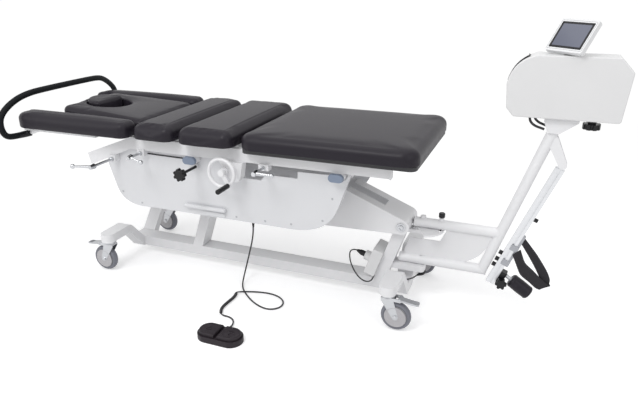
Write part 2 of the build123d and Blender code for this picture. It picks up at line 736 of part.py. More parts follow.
with BuildPart() as handwheel:
    with BuildSketch(Plane.XY.offset(wheel_axis[1])):
        with Locations((wheel_axis[0] + ring_r, wheel_plane_y)):
            Ellipse(ring_tube, ring_tube + 1)
    revolve(axis=Axis((wheel_axis[0], wheel_plane_y, wheel_axis[1]), (0, 1, 0)))
    with Locations(Plane.XZ.offset(-wheel_plane_y)):
        with Locations(wheel_axis):
            Cylinder(14, 16)
    with BuildSketch(Plane.XZ.offset(-wheel_plane_y - 3)):
        with BuildLine():
            Line(wheel_axis, (wheel_axis[0] + 29, wheel_axis[1] - 49))
        trace(line_width=18)
    extrude(amount=6)
    with BuildSketch(Plane.XZ.offset(-wheel_plane_y)):
        with Locations(wheel_axis):
            Circle(shaft_r)
    extrude(amount=wheel_plane_y - housing_front - 18)
    with BuildSketch(Plane.XZ.offset(-wheel_plane_y + 3)):
        with Locations(grip_spot):
            Circle(5)
    extrude(amount=70)
keep("handwheel", handwheel)
with BuildPart() as crank_grip:
    with BuildSketch(Plane.XZ.offset(-wheel_plane_y + ring_tube + 2)):
        with Locations(grip_spot):
            Circle(10.5)
    extrude(amount=80)
    fillet(crank_grip.edges().sort_by(Axis.Y)[0], 3)
    with BuildSketch(Plane.XZ.offset(-wheel_plane_y + ring_tube + 2)):
        with Locations(grip_spot):
            Circle(5 + running_gap)
    extrude(amount=65, mode=Mode.SUBTRACT)
keep("crank_grip", crank_grip)


def clamp_lever(name, axis_xz, hub_y, ball, ball_r):
    """Clamp handle: spindle in its block, hub, tapered arm and a ball at the arm's end."""
    with BuildPart() as lever:
        with BuildSketch(Plane.XZ.offset(skirt_face + 2)):
            with Locations(axis_xz):
                Circle(lever_pin_r)
        extrude(amount=-hub_y - skirt_face - 2)
        with BuildSketch(Plane.XZ.offset(block_y + seat_gap)):
            with Locations(axis_xz):
                RegularPolygon(10, 6)
        extrude(amount=12)
        with Locations(Plane.XZ.offset(-hub_y - 12)):
            with Locations(axis_xz):
                Cone(12, 9, 26, align=(Align.CENTER, Align.CENTER, Align.MIN))
        reach = Vector(ball[0], 0, ball[1])
        arm_plane = Plane(origin=(axis_xz[0], hub_y, axis_xz[1]), x_dir=(0, 1, 0), z_dir=tuple(reach))
        with Locations(arm_plane):
            Cone(8, 5, reach.length, align=(Align.CENTER, Align.CENTER, Align.MIN))
        with Locations(arm_plane.offset(reach.length)):
            Sphere(ball_r)
    keep(name, lever)


clamp_lever("lever_head", lever_axes["head"], -390.0, (-110.0, -10.0), 11.0)
clamp_lever("lever_slide", lever_axes["slide"], -335.0, (55.0, -16.0), 10.0)
clamp_lever("lever_leg", lever_axes["leg"], -335.0, (72.0, -1.0), 9.0)

with BuildPart() as star_knob:
    with BuildSketch(Plane.XZ.offset(-star_y)):
        with Locations(star_axis):
            Circle(star_r - 6)
            with PolarLocations(star_r - 6, 7):
                Circle(6.5)
    extrude(amount=20)
    fillet(star_knob.faces().sort_by(Axis.Y)[0].edges(), 2.5)
    with BuildSketch(Plane.XZ.offset(skirt_face + 1)):
        with Locations(star_axis):
            Circle(star_spindle_r)
    extrude(amount=-star_y - skirt_face)
    with BuildSketch(Plane.XZ.offset(-star_y - 22)):
        with Locations(star_axis):
            Circle(10)
    extrude(amount=24)
keep("star_knob", star_knob)

# ---------------------------------------------------------------- head section
head_pivot = (232.0, 697.0)   # hinge of the centre head pad, X and Z
head_pad_thick = 52.0
board_thick = 9.0
spar_in = 150.0
spar_wide = 22.0
spar_top = 692.0
arm_plate_x = (-299.0, -34.0)
lug_y = (92.0, 148.0)
pad_tilt = radians(head_pad_tilt)
head_plane = Plane(origin=(head_pivot[0], 0, head_pivot[1]), x_dir=(cos(pad_tilt), 0, -sin(pad_tilt)),
                   z_dir=(sin(pad_tilt), 0, cos(pad_tilt)))
with BuildPart() as head_frame:
    with Locations(Plane.XZ):
        with Locations((hinge_x, hinge_z)):
            Cylinder(14, 2 * rail_in - 2)
            Cylinder(hinge_pin_r, 2 * rail_out + 2)
    for side in (1, -1):
        # spars under the head pad and outriggers under the arm pads
        with Locations(((hinge_x - 235) / 2, side * (spar_in + spar_wide / 2), spar_top)):
            Box(hinge_x + 235, spar_wide, 18, align=(Align.CENTER, Align.CENTER, Align.MAX))
        with Locations(((arm_plate_x[0] + arm_plate_x[1]) / 2, side * 262, seat_top - pad_low + 700)):
            Box(arm_plate_x[1] - arm_plate_x[0], 76, 6, align=(Align.CENTER, Align.CENTER, Align.MAX))
        with Locations(((-376 + 41) / 2, side * 274, 694)):
            Box(417, 24, 13, align=(Align.CENTER, Align.CENTER, Align.MAX))
        # hinge lugs of the centre pad
        for y in lug_y:
            with BuildSketch(Plane.XZ.offset(-side * y)):
                with Locations(head_pivot):
                    Circle(7.5)
                with Locations((hinge_x, hinge_z + 6)):
                    Rectangle(15, 8)
                make_hull()
            extrude(amount=3, both=True)
        with BuildSketch(Plane.XZ.offset(-side * lug_y[0])):
            with Locations(head_pivot):
                Circle(4)
        extrude(amount=-side * (lug_y[1] - lug_y[0]))
        # tube stub that carries the grip bar
        with BuildSketch(Plane(origin=(-300, side * 274, 686), x_dir=(0, 1, 0),
                               z_dir=(-76, -side * 19, -26))):
            Circle(grip_tube_r)
        extrude(amount=hypot(76, 19, 26) - 1)
    for bar_x in (-270.0, -150.0):
        with Locations((bar_x, 0, spar_top)):
            Box(30, 2 * 270, 14, align=(Align.CENTER, Align.CENTER, Align.MAX))
keep("head_frame", head_frame)

grip_half_route = [(-375, -255, grip_low + 3), (-396, -318, grip_low), (-403, 16 - grip_wide, grip_low + 7),
                   (-404, -2 - grip_wide, 706), (-402, 2 - grip_wide, 756), (-396, 41 - grip_wide, 795),
                   (-384, -290, grip_high - 23), (-368, -238, grip_high - 6), (-360, -165, grip_high),
                   (-360, -80, grip_high)]
grip_route = grip_half_route + [(x, -y, z) for x, y, z in reversed(grip_half_route)]
with BuildPart() as handlebar_grip:
    with BuildLine(mode=Mode.PRIVATE) as grip_line:
        FilletPolyline(*(grip_route[:9] + grip_route[11:]),
                       radius=bend_radii(grip_route[:9] + grip_route[11:]))
    with BuildSketch(Plane(origin=grip_route[0], z_dir=tuple(Vector(*grip_route[1]) - Vector(*grip_route[0]))),
                     mode=Mode.PRIVATE) as grip_section:
        Circle(grip_r)
    sweep(sections=grip_section.sketch, path=grip_line.line)
keep("handlebar_grip", handlebar_grip)


def head_half(x):
    """Half width of the centre head pad at x, measured from its hinge."""
    share = (x - (head_pad_x[0] - head_pivot[0])) / (head_pad_x[1] - head_pad_x[0])
    return head_pad_half[0] + share * (head_pad_half[1] - head_pad_half[0])


hole_x = face_hole_x - head_pivot[0]
pad_ends = (head_pad_x[0] - head_pivot[0], head_pad_x[1] - head_pivot[0])
with BuildPart() as head_pad:
    with BuildSketch(head_plane.offset(pad_low + 1 - head_pivot[1])):
        with BuildLine():
            Polyline((pad_ends[0], -head_half(pad_ends[0])), (pad_ends[1], -head_half(pad_ends[1])),
                     (pad_ends[1], head_half(pad_ends[1])), (pad_ends[0], head_half(pad_ends[0])),
                     close=True)
        make_face()
        fillet(vertices().filter_by(lambda v: v.X < 0), 42)
        fillet(vertices().filter_by(lambda v: v.X > pad_ends[1] - 1), 24)
    extrude(amount=head_pad_thick)
    fillet(head_pad.faces().sort_by(Axis.Z)[-1].edges(), 16)
    with BuildSketch(head_plane.offset(pad_low + 1 - head_pivot[1])):
        with Locations((hole_x, 0)):
            Ellipse(face_hole[0] / 2, face_hole[1] / 2)
    extrude(amount=head_pad_thick, mode=Mode.SUBTRACT)
keep("head_pad", head_pad)

plug_share = 10.0             # the plug's straight edge, footward of the hole's centre
plug_proud = 18.0
with BuildPart() as face_plug:
    with BuildSketch(head_plane.offset(pad_low + 1 - head_pivot[1] + seat_gap)):
        with Locations((hole_x, 0)):
            Ellipse(face_hole[0] / 2 - plug_gap, face_hole[1] / 2 - plug_gap)
        with Locations((hole_x - 100 + plug_share, 0)):
            Rectangle(200, 300, mode=Mode.INTERSECT)
    extrude(amount=head_pad_thick + plug_proud - seat_gap)
    fillet(face_plug.faces().sort_by(Axis.Z)[-1].edges(), 14)
keep("face_plug", face_plug)

with BuildPart() as head_board:
    with BuildSketch(head_plane.offset(pad_low + 1 - head_pivot[1] - seat_gap)):
        with BuildLine():
            e0, e1 = pad_ends[0] + 18, pad_ends[1] - 2
            Polyline((e0, -head_half(e0) + 20), (e1, -head_half(e1) + 20), (e1, head_half(e1) - 20),
                     (e0, head_half(e0) - 20), close=True)
        make_face()
        fillet(vertices(), 24)
        with BuildSketch(mode=Mode.PRIVATE) as open_part:
            Ellipse(face_hole[0] / 2 - 3, face_hole[1] / 2 - 3)
            with Locations((100 - 18, 0)):
                Rectangle(200, 300, mode=Mode.INTERSECT)
        add(open_part.sketch.moved(Location((hole_x, 0, 0))), mode=Mode.SUBTRACT)
        for y in lug_y:
            for side in (1, -1):
                with Locations((0, side * y)):
                    Rectangle(24, 9, mode=Mode.SUBTRACT)
    extrude(amount=-board_thick + 1.2)
    for side in (1, -1):
        with Locations(Plane.XZ.offset(-side * (lug_y[0] + lug_y[1]) / 2)):
            with Locations(head_pivot):
                Cylinder(7, lug_y[1] - lug_y[0] - 7)
                Cylinder(4 + running_gap, 80, mode=Mode.SUBTRACT)
keep("head_board", head_board)


def cushion(name, side):
    """Arm pad beside the centre pad, longer than it and rounded at the head end."""
    with BuildPart() as pad:
        x0, x1 = arm_pad_x
        n0 = head_half(head_pad_x[0] - head_pivot[0]) + pad_gap
        n1 = head_half(x1 - head_pivot[0]) + pad_gap
        with BuildSketch(Plane.XY.offset(700)):
            with BuildLine():
                Polyline((x0, side * (n0 + 10)), (x1, side * n1), (x1, side * (pad_half + 5)),
                         (x0, side * (pad_half + 5)), close=True)
            make_face()
            fillet(vertices().filter_by(lambda v: v.X < 0 and abs(v.Y) > 300), 75)
            fillet(vertices().filter_by(lambda v: v.X < 0 and abs(v.Y) < 250), 40)
            fillet(vertices().filter_by(lambda v: v.X > x1 - 1), 22)
        extrude(amount=pad_high - 700)
        fillet(pad.faces().sort_by(Axis.Z)[-1].edges(), 20)
    keep(name, pad)


cushion("arm_pad_near", -1)
cushion("arm_pad_far", 1)

# ---------------------------------------------------------------- body and leg pads
for name, (start, end), low in (("chest_pad", chest_x, pad_low), ("waist_pad", waist_x, pad_low),
                                ("leg_pad", leg_x, pad_low + 2)):
    with BuildPart() as pad:
        with BuildSketch(Plane.XY.offset(low)):
            with Locations(((start + end) / 2, 0)):
                RectangleRounded(end - start, 2 * pad_half, 28 if name != "leg_pad" else 45)
        extrude(amount=pad_high - low)
        fillet(pad.faces().sort_by(Axis.Z)[-1].edges(), 22)
    keep(name, pad)

slide_travel = 100.0
runner_gap = 0.5
with BuildPart() as leg_board:
    with BuildSketch(Plane.XY.offset(rail_top + seat_gap)):
        with Locations(((leg_x[0] + leg_x[1]) / 2, 0)):
            RectangleRounded(leg_x[1] - leg_x[0] - 24, 2 * pad_half - 44, 30)
    extrude(amount=pad_low + 2 - seat_gap - rail_top - seat_gap)
    for side in (1, -1):
        with Locations(((800 + 1190) / 2, side * (rail_in - runner_gap - 8), rail_top + seat_gap + 2)):
            Box(390, 16, 28, align=(Align.CENTER, Align.CENTER, Align.MAX))
keep("leg_board", leg_board)

# ---------------------------------------------------------------- mast
saddle_top = box_low - seat_gap
saddle_half = 30.0
fold_bracket_gap = 9.0        # half width of the slot that takes the folding rail
fold_pin_r = 5.0


def mast_x(z):
    """X of the mast's axis at height z."""
    return lean_x(z, mast_foot_x, tube_low_z, mast_lean)


with BuildPart() as mast_frame:
    with BuildLine(mode=Mode.PRIVATE) as mast_path:
        Polyline((1367, 0, tube_low_z), (mast_foot_x, 0, tube_low_z), (mast_x(mast_top_z + 30), 0, mast_top_z + 30))
    with BuildSketch(Plane.YZ.offset(1367), mode=Mode.PRIVATE) as mast_ring:
        with Locations((0, tube_low_z)):
            Circle(tube_r)
    sweep(sections=mast_ring.sketch, path=mast_path.line, transition=Transition.RIGHT)
    with Locations((mast_x(mast_top_z), 0, mast_top_z)):
        Box(120, 120, 80, align=(Align.CENTER, Align.CENTER, Align.MIN), mode=Mode.SUBTRACT)
    with BuildSketch(Plane.YZ.offset(1425)):
        with Locations((0, tube_high_z)):
            Circle(tube_r)
    extrude(amount=mast_x(tube_high_z) - 1425)
    # web plate between the tubes and the mast
    with BuildSketch(Plane.XZ):
        with BuildLine():
            w0 = (foot_pivot_x + 2, tube_low_z + 12)
            w1 = (foot_pivot_x + 2, 242)
            w2 = (1410, 299)
            w3 = (1535, 300)
            w4 = (1558, 349)
            w5 = (1561, tube_high_z)
            w6 = (mast_x(tube_high_z), tube_high_z)
            w7 = (mast_x(340) - 22, 349)
            w9 = (1630, tube_low_z + 18)
            Polyline(w0, w1, w2, w3, w4, w5, w6, w7)
            ThreePointArc(w7, (1703, 268), w9)
            Line(w9, w0)
        make_face()
    extrude(amount=web_thick / 2, both=True)
    # bores for the swing pins and the index pin
    for z in (tube_low_z, tube_high_z):
        with Locations((swing_x, 0, z)):
            Cylinder(swing_pin_r + running_gap, 2 * tube_r + 2, mode=Mode.SUBTRACT)
    with Locations((swing_x + plunger_reach, 0, tube_high_z)):
        Cylinder(plunger_r + running_gap, 2 * tube_r + 2, mode=Mode.SUBTRACT)
    # collar of the index pin
    with Locations((swing_x + plunger_reach, 0, tube_high_z + tube_r - 2)):
        Cylinder(10, 12, align=(Align.CENTER, Align.CENTER, Align.MIN))
        Cylinder(plunger_r + running_gap, 14, align=(Align.CENTER, Align.CENTER, Align.MIN),
                 mode=Mode.SUBTRACT)
    # saddle that carries the traction unit
    with BuildSketch(Plane.XZ):
        with BuildLine():
            sx = mast_x(mast_top_z)
            Polyline((sx - 20, mast_top_z - 1), (sx + 22, mast_top_z - 1), (sx + 80, saddle_top - 14),
                     (sx + 82, saddle_top), (sx - 36, saddle_top), (sx - 36, saddle_top - 14), close=True)
        make_face()
    extrude(amount=saddle_half, both=True)
    # ears of the folding rail
    for side in (1, -1):
        with BuildSketch(Plane.XZ.offset(side * (fold_bracket_gap + 3))):
            with Locations((fold_x, fold_z)):
                Circle(15)
            with Locations((mast_x(775) + 14, 775)):
                Circle(20)
            make_hull()
        extrude(amount=3, both=True)
    with BuildSketch(Plane.XZ):
        with Locations((fold_x, fold_z)):
            Circle(fold_pin_r)
    extrude(amount=fold_bracket_gap + 2, both=True)
keep("mast_frame", mast_frame)

with BuildPart() as swing_plunger:
    with Locations((swing_x + plunger_reach, 0, lug_top + 1)):
        Cylinder(plunger_r, 70, align=(Align.CENTER, Align.CENTER, Align.MIN))
    with Locations((swing_x + plunger_reach, 0, tube_high_z + tube_r + 14)):
        Cylinder(13, 18, align=(Align.CENTER, Align.CENTER, Align.MIN))
    fillet(swing_plunger.edges().filter_by(GeomType.CIRCLE).sort_by(Axis.Z)[-1], 4)
keep("swing_plunger", swing_plunger)

# ---------------------------------------------------------------- traction unit
knob_x = 2036.0
with BuildPart() as traction_box:
    with BuildSketch(Plane.XZ):
        with BuildLine():
            nose = ThreePointArc((1736, 977), (1762, 1040), (1829, box_high))
            Polyline(nose @ 1, (box_right - 45, box_high), (box_right, box_high - 47),
                     (box_right - 15, box_low), (1770, box_low), (1743, 892), nose @ 0)
        make_face()
        fillet(vertices(), 10)
    extrude(amount=box_y, both=True)
    # slot of the pull strap in the nose
    with BuildSketch(Plane.XZ):
        with BuildLine():
            Polyline((1700, 986), (1762, 986), (1806, 1052), (1798, 1100), (1700, 1100), close=True)
        make_face()
    extrude(amount=strap_slot_y, both=True, mode=Mode.SUBTRACT)
    for end_face in (0, -1):
        fillet(traction_box.faces().filter_by(Axis.Y).sort_by(Axis.Y)[end_face].outer_wire().edges(), 4)
    # roller of the strap, and the socket of the clamp screw under the housing
    with BuildSketch(Plane.XZ):
        with Locations((1763, 1012)):
            Circle(9)
    extrude(amount=strap_slot_y + 1, both=True)
    with Locations((knob_x, 0, box_low)):
        Cylinder(8 + running_gap, 24, mode=Mode.SUBTRACT)
keep("traction_box", traction_box)

with BuildPart() as box_knob:
    with Locations((knob_x, 0, box_low - 37)):
        Cylinder(30, 20, align=(Align.CENTER, Align.CENTER, Align.MIN))
        with PolarLocations(30, 8):
            Cylinder(5, 30, align=(Align.CENTER, Align.CENTER, Align.MIN), mode=Mode.SUBTRACT)
    fillet(box_knob.edges().filter_by(GeomType.CIRCLE).group_by(Axis.Z)[0], 1.5)
    with Locations((knob_x, 0, box_low - 20)):
        Cylinder(14, 19, align=(Align.CENTER, Align.CENTER, Align.MIN))
        Cylinder(8, 30, align=(Align.CENTER, Align.CENTER, Align.MIN))
keep("box_knob", box_knob)

hose_d = 9.0
with BuildPart() as box_cable:
    cord_tube("box_cable_a", [(1826, -12, box_low), (1827, -12, 846), (1836, -11, 832), (1852, -10, 822),
                              (1870, -9, 817), (mast_x(812) - tube_r - 14, -8, 813)], hose_d)
    cord_tube("box_cable_b", [(1842, 12, box_low), (1843, 12, 850), (1850, 11, 840), (1862, 10, 832),
                              (1876, 9, 827), (1889, 8, 823)], hose_d)
keep("box_cable", box_cable)

# ---------------------------------------------------------------- display and its stand
yaw, lean = radians(display_yaw), radians(display_tilt)
screen_right = Vector(cos(yaw), -sin(yaw), 0)
screen_out = Vector(-sin(yaw) * cos(lean), -cos(yaw) * cos(lean), sin(lean))
screen_centre = Vector(1927, -10, 1146)
screen_up = screen_out.cross(screen_right)
face_plane = Plane(origin=tuple(screen_centre), x_dir=tuple(screen_right), z_dir=tuple(screen_out))
stand_head = screen_centre - screen_up * 22 - screen_out * (display_thick + 13)
head_line = Plane(origin=tuple(stand_head), x_dir=tuple(screen_out), z_dir=tuple(screen_right))
head_long = 26.0
stand_pin_r = 4.0
glass_thick = 1.6
with BuildPart() as display:
    with BuildSketch(face_plane):
        RectangleRounded(display_width, display_height, 8)
    extrude(amount=-display_thick)
    fillet(display.faces().sort_by(Axis((0, 0, 0), tuple(screen_out)))[0].edges(), 7)
    with BuildSketch(face_plane):
        RectangleRounded(display_width - 20, display_height - 26, 3)
    extrude(amount=-glass_thick, mode=Mode.SUBTRACT)
    for offset_x in (-(head_long / 2 + 3.3), head_long / 2 + 3.3):
        with BuildSketch(head_line.offset(offset_x)):
            with Locations((5, 0)):
                Rectangle(22, 20)
            Circle(10)
        extrude(amount=3, both=True)
    with BuildSketch(head_line):
        Circle(stand_pin_r)
    extrude(amount=head_long / 2 + 2, both=True)
keep("display", display)

with BuildPart() as screen:
    with BuildSketch(face_plane.offset(-glass_thick)):
        RectangleRounded(display_width - 20.4, display_height - 26.4, 3)
    extrude(amount=glass_thick)
keep("screen", screen)

with BuildPart() as display_stand:
    with BuildSketch(Plane.XY.offset(box_high + seat_gap)):
        with Locations((stand_head.X, stand_head.Y)):
            Circle(26)
    extrude(amount=8, taper=20)
    with Locations((stand_head.X, stand_head.Y, box_high + 6)):
        Cylinder(9, stand_head.Z - box_high - 10, align=(Align.CENTER, Align.CENTER, Align.MIN))
    with BuildSketch(head_line):
        Circle(9)
    extrude(amount=head_long / 2, both=True)
    with BuildSketch(head_line):
        Circle(stand_pin_r + running_gap)
    extrude(amount=head_long / 2 + 1, both=True, mode=Mode.SUBTRACT)
keep("display_stand", display_stand)

# ---------------------------------------------------------------- folding rail
fold_axis = Vector(-sin(radians(fold_lean)), 0, -cos(radians(fold_lean)))
fold_side = Vector(cos(radians(fold_lean)), 0, -sin(radians(fold_lean)))
rail_plane = Plane(origin=(fold_x, 0, fold_z), x_dir=tuple(fold_side), z_dir=tuple(fold_axis))
groove_w = 8.0
groove_d = 4.0
tongue = 18.0
with BuildPart() as fold_rail:
    with BuildSketch(rail_plane.offset(tongue)):
        Rectangle(fold_width, fold_thick)
        for side in (1, -1):
            with Locations((0, side * fold_thick / 2)):
                Rectangle(groove_w, 2 * groove_d, mode=Mode.SUBTRACT)
        with Locations((fold_width / 2, 0)):
            Rectangle(2 * groove_d, groove_w, mode=Mode.SUBTRACT)
    extrude(amount=fold_length - tongue)
    with BuildSketch(Plane.XZ):
        with Locations((fold_x, fold_z)):
            Circle(12)
        with Locations((fold_x + fold_axis.X * 24, fold_z + fold_axis.Z * 24)):
            Circle(12)
        make_hull()
    extrude(amount=fold_bracket_gap - 0.5, both=True)
    with BuildSketch(Plane.XZ):
        with Locations((fold_x, fold_z)):
            Circle(fold_pin_r + running_gap)
    extrude(amount=fold_bracket_gap, both=True, mode=Mode.SUBTRACT)
keep("fold_rail", fold_rail)


def on_rail(along, out, y):
    """World place of a point given along the folding rail, out from its axis, and across."""
    p = Vector(fold_x, 0, fold_z) + fold_axis * along + fold_side * out
    return (p.X, y, p.Z)


clear = 0.3
guide = groove_w - 2 * clear
with BuildPart() as rail_slides:
    # runner on the outer edge of the rail, with its tongue in the groove
    with BuildSketch(rail_plane.offset(322)):
        with Locations((fold_width / 2 + clear + 5, 0)):
            Rectangle(10, fold_thick)
        with Locations((fold_width / 2 + clear, 0)):
            Rectangle(2 * (groove_d - 1), guide)
    extrude(amount=150)
    # two clamps that reach round to the front groove
    for start in (372.0, 446.0):
        with BuildSketch(rail_plane.offset(start)):
            with Locations((fold_width / 4 + 6, fold_thick / 2 + clear + 2)):
                Rectangle(fold_width / 2 + 9, 4)
            with Locations((0, fold_thick / 2 + clear)):
                Rectangle(guide, 2 * (groove_d - 1))
            with Locations((fold_width / 2 + clear + 6, fold_thick / 2 - 3)):
                Rectangle(8, 14)
        extrude(amount=24)
keep("rail_slides", rail_slides)

block_from = 498.0
block_long = 52.0
star_place = on_rail(543, 38, 0)
with BuildPart() as rail_block:
    # carriage at the lower end of the rail: it carries the roll and the clamp knob
    with BuildSketch(rail_plane.offset(block_from)):
        with Locations((fold_width / 2 + clear + 12, 0)):
            Rectangle(24, fold_thick + 10)
        with Locations((fold_width / 2 + clear, 0)):
            Rectangle(2 * (groove_d - 1), guide)
    extrude(amount=block_long)
    # screws and their heads on the inner edge of the rail
    for along in (430.0, 462.0, 490.0):
        with BuildSketch(Plane(origin=on_rail(along, -fold_width / 2, 0), x_dir=(0, 1, 0),
                               z_dir=tuple(-fold_side))):
            Circle(9)
        extrude(amount=14)
    with BuildSketch(Plane(origin=on_rail(242, fold_width / 2, 0), x_dir=(0, 1, 0), z_dir=tuple(fold_side))):
        Circle(8)
    extrude(amount=16)
keep("rail_knobs", rail_block)

with BuildPart() as rail_star:
    with BuildSketch(Plane.XZ.offset(fold_thick / 2 + 5 + 4)):
        with Locations((star_place[0], star_place[2])):
            Circle(17)
            with PolarLocations(17, 6):
                Circle(6)
    extrude(amount=18)
    with BuildSketch(Plane.XZ.offset(fold_thick / 2 + 5 + seat_gap)):
        with Locations((star_place[0], star_place[2])):
            Circle(9)
    extrude(amount=5)
keep("rail_star", rail_star)

roll_r = 28.0
roll_axis = Vector(cos(radians(34)), 0, -sin(radians(34)))
roll_start = Vector(*on_rail(block_from + 20, fold_width / 2 + clear + 24 + seat_gap + 24, 0))
with BuildPart() as bolster:
    with BuildSketch(Plane(origin=tuple(roll_start), x_dir=(0, 1, 0), z_dir=tuple(roll_axis))):
        Circle(roll_r)
    extrude(amount=92)
    fillet(bolster.edges().filter_by(GeomType.CIRCLE), 9)
    with BuildSketch(Plane(origin=tuple(roll_start), x_dir=(0, 1, 0), z_dir=tuple(roll_axis))):
        Circle(8)
    extrude(amount=-23.4)
keep("bolster", bolster)

strap_thick = 3.0
with BuildPart() as harness_strap:
    with BuildSketch(Plane.XZ.offset(fold_thick / 2 + clear + 4 + seat_gap)):
        with BuildLine():
            Polyline((1827, 297), (1856, 325), (1876, 272), (1910, 245), (1958, 200), (1946, 162),
                     (1930, 164), (1900, 190), (1863, 217), close=True)
        make_face()
    extrude(amount=strap_thick)
    with BuildSketch(Plane.XZ.offset(3)):
        with BuildLine():
            Polyline((1856.4, 341.6), (1867.4, 369), (1920, 307), (1966, 240), (1980, 196), (1968, 178),
                     (1946, 186), (1937, 214), (1902, 274), close=True)
        make_face()
    extrude(amount=strap_thick)
    with BuildSketch(Plane.XZ.offset(3)):
        with BuildLine():
            Polyline((1946, 162), (1980, 192), (1972, 214), (1938, 178), close=True)
        make_face()
    extrude(amount=fold_thick / 2 + clear + 1 + seat_gap + strap_thick)
keep("harness_strap", harness_strap)

# ---------------------------------------------------------------- foot pedal
base_high = 24.0
wall = 6.0
floor_thick = 8.0
rib = 12.0
tread_gap = 1.5
tread_low = 17.0
pivot_r = 3.0
pivot_off = 16.0
pivot_z = 21.0
with BuildPart() as foot_pedal:
    with BuildSketch(Plane.XY):
        with Locations((pedal_x, pedal_y)):
            SlotOverall(pedal_length, pedal_width)
    extrude(amount=base_high)
    fillet(foot_pedal.edges().sort_by(Axis.Z)[-1], 2)
    with BuildSketch(Plane.XY.offset(floor_thick)):
        with Locations((pedal_x, pedal_y)):
            SlotOverall(pedal_length - 2 * wall, pedal_width - 2 * wall)
            Rectangle(rib, pedal_width, mode=Mode.SUBTRACT)
    extrude(amount=base_high, mode=Mode.SUBTRACT)
    with Locations(Plane.XZ.offset(-pedal_y)):
        for side in (1, -1):
            with Locations((pedal_x + side * pivot_off, pivot_z)):
                Cylinder(pivot_r + running_gap, pedal_width - wall, mode=Mode.SUBTRACT)
keep("foot_pedal", foot_pedal)
for name, side in (("pedal_up", -1), ("pedal_down", 1)):
    with BuildPart() as tread:
        with BuildSketch(Plane.XY.offset(tread_low)):
            with Locations((pedal_x, pedal_y)):
                SlotOverall(pedal_length - 2 * wall - 2 * tread_gap, pedal_width - 2 * wall - 2 * tread_gap)
                with Locations((-side * (100 - rib / 2 - tread_gap), 0)):
                    Rectangle(200, 200, mode=Mode.SUBTRACT)
        extrude(amount=pedal_high - tread_low)
        fillet(tread.faces().sort_by(Axis.Z)[-1].edges(), 7)
        with Locations(Plane.XZ.offset(-pedal_y)):
            with Locations((pedal_x + side * pivot_off, pivot_z)):
                Cylinder(pivot_r, pedal_width - wall - 1)
    keep(name, tread)

# ---------------------------------------------------------------- cord of the foot pedal
cord_r = cord_d / 2
gland_z = tray_top - tray_thick - 14
coil_z = coil_d / 2 + 0.1
drop_route = [(tray_x - 30, tray_y, gland_z), (686, -63, 262), (684, -64, 226), (678, -69, 182),
              (669, -80, 134), (662, -97, 84), (659, -120, 42), (663, -148, 14), (676, -178, cord_r + 1.2),
              (699, -208, cord_r + 0.2), (735, -243, cord_r + 0.3), (781, -279, cord_r + 0.2),
              (828, -304, cord_r + 0.4), (869, -313, cord_r + 0.2), (900, -302, cord_r + 0.4),
              (918, -276, cord_r + 0.2), (917, -244, cord_r + 0.5), (896, -215, cord_r + 0.3),
              (858, -195, cord_r + 0.6), (812, -190, cord_r + 0.3), (764, -199, cord_r + 0.8),
              (724, -212, cord_r + 1.4), (696, -226, 6.2), (680, -238, coil_z)]
coil_route = [(680, -238, coil_z), (688, -262, coil_z + 0.1), (690, -292, coil_z), (686, -328, coil_z + 0.1),
              (684, -364, coil_z), (690, -396, coil_z + 0.1), (706, -420, coil_z)]
lead_route = [(706, -420, coil_z), (722, -426, 5.4), (744, -424, 4.2), (766, -432, 4.0), (783, -449, 5.2),
              (793, -472, 8.6), (798, -495, 11.0), (799, pedal_y + pedal_width / 2, 12.0)]
with BuildPart() as pedal_cord:
    cord_tube("pedal_cord", drop_route, cord_d)
    cord_tube("pedal_lead", lead_route, cord_d)
keep("pedal_cord", pedal_cord)
with BuildPart() as pedal_coil:
    cord_tube("pedal_coil", coil_route, coil_d)
keep("pedal_coil", pedal_coil)

# ---------------------------------------------------------------- common origin and files
cord_names = ("pedal_cord", "pedal_coil")
boxes = [part.bounding_box() for name, part in pieces.items() if name not in cord_names]
low = Vector(min(b.min.X for b in boxes), min(b.min.Y for b in boxes), min(b.min.Z for b in boxes))
high = Vector(max(b.max.X for b in boxes), max(b.max.Y for b in boxes), max(b.max.Z for b in boxes))
shift = Location((-(low.X + high.X) / 2, -(low.Y + high.Y) / 2, -low.Z))
print("box", low, high, "shift", shift.position, "pieces", len(pieces))

os.makedirs("parts", exist_ok=True)
for name, part in pieces.items():
    placed = part.moved(shift)
    placed.label = name
    export_step(placed, "parts/" + name + ".step")
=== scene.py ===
import json
import math

import bmesh
import bpy
import numpy as np
from mathutils import Matrix


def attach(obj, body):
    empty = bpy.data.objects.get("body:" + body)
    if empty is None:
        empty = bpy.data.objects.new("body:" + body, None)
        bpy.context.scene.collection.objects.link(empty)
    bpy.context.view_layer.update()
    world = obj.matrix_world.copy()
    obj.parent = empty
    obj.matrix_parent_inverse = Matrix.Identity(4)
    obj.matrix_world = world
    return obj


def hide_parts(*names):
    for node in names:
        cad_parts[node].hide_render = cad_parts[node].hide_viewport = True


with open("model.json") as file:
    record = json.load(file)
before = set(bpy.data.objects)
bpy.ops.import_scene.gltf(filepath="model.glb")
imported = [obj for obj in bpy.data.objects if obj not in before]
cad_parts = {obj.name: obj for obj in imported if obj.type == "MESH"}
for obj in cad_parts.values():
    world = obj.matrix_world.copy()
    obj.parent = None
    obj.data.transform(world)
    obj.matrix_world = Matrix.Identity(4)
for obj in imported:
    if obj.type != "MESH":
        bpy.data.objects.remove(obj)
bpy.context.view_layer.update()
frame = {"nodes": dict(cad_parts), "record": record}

# The table's own frame, in millimetres from the stem of the head casters, set in the row frame.
HOME = np.array([-0.859469, 0.108687, 0.0])
wheelbase = 1385.0      # from the head casters' stem to the foot casters'
pivot_z = 373.0         # height of the lower pivots of the lifting arms


def here(points):
    """Places given in millimetres from the head casters' stem, as metres in the row frame."""
    return np.asarray(points, float) / 1000.0 + HOME


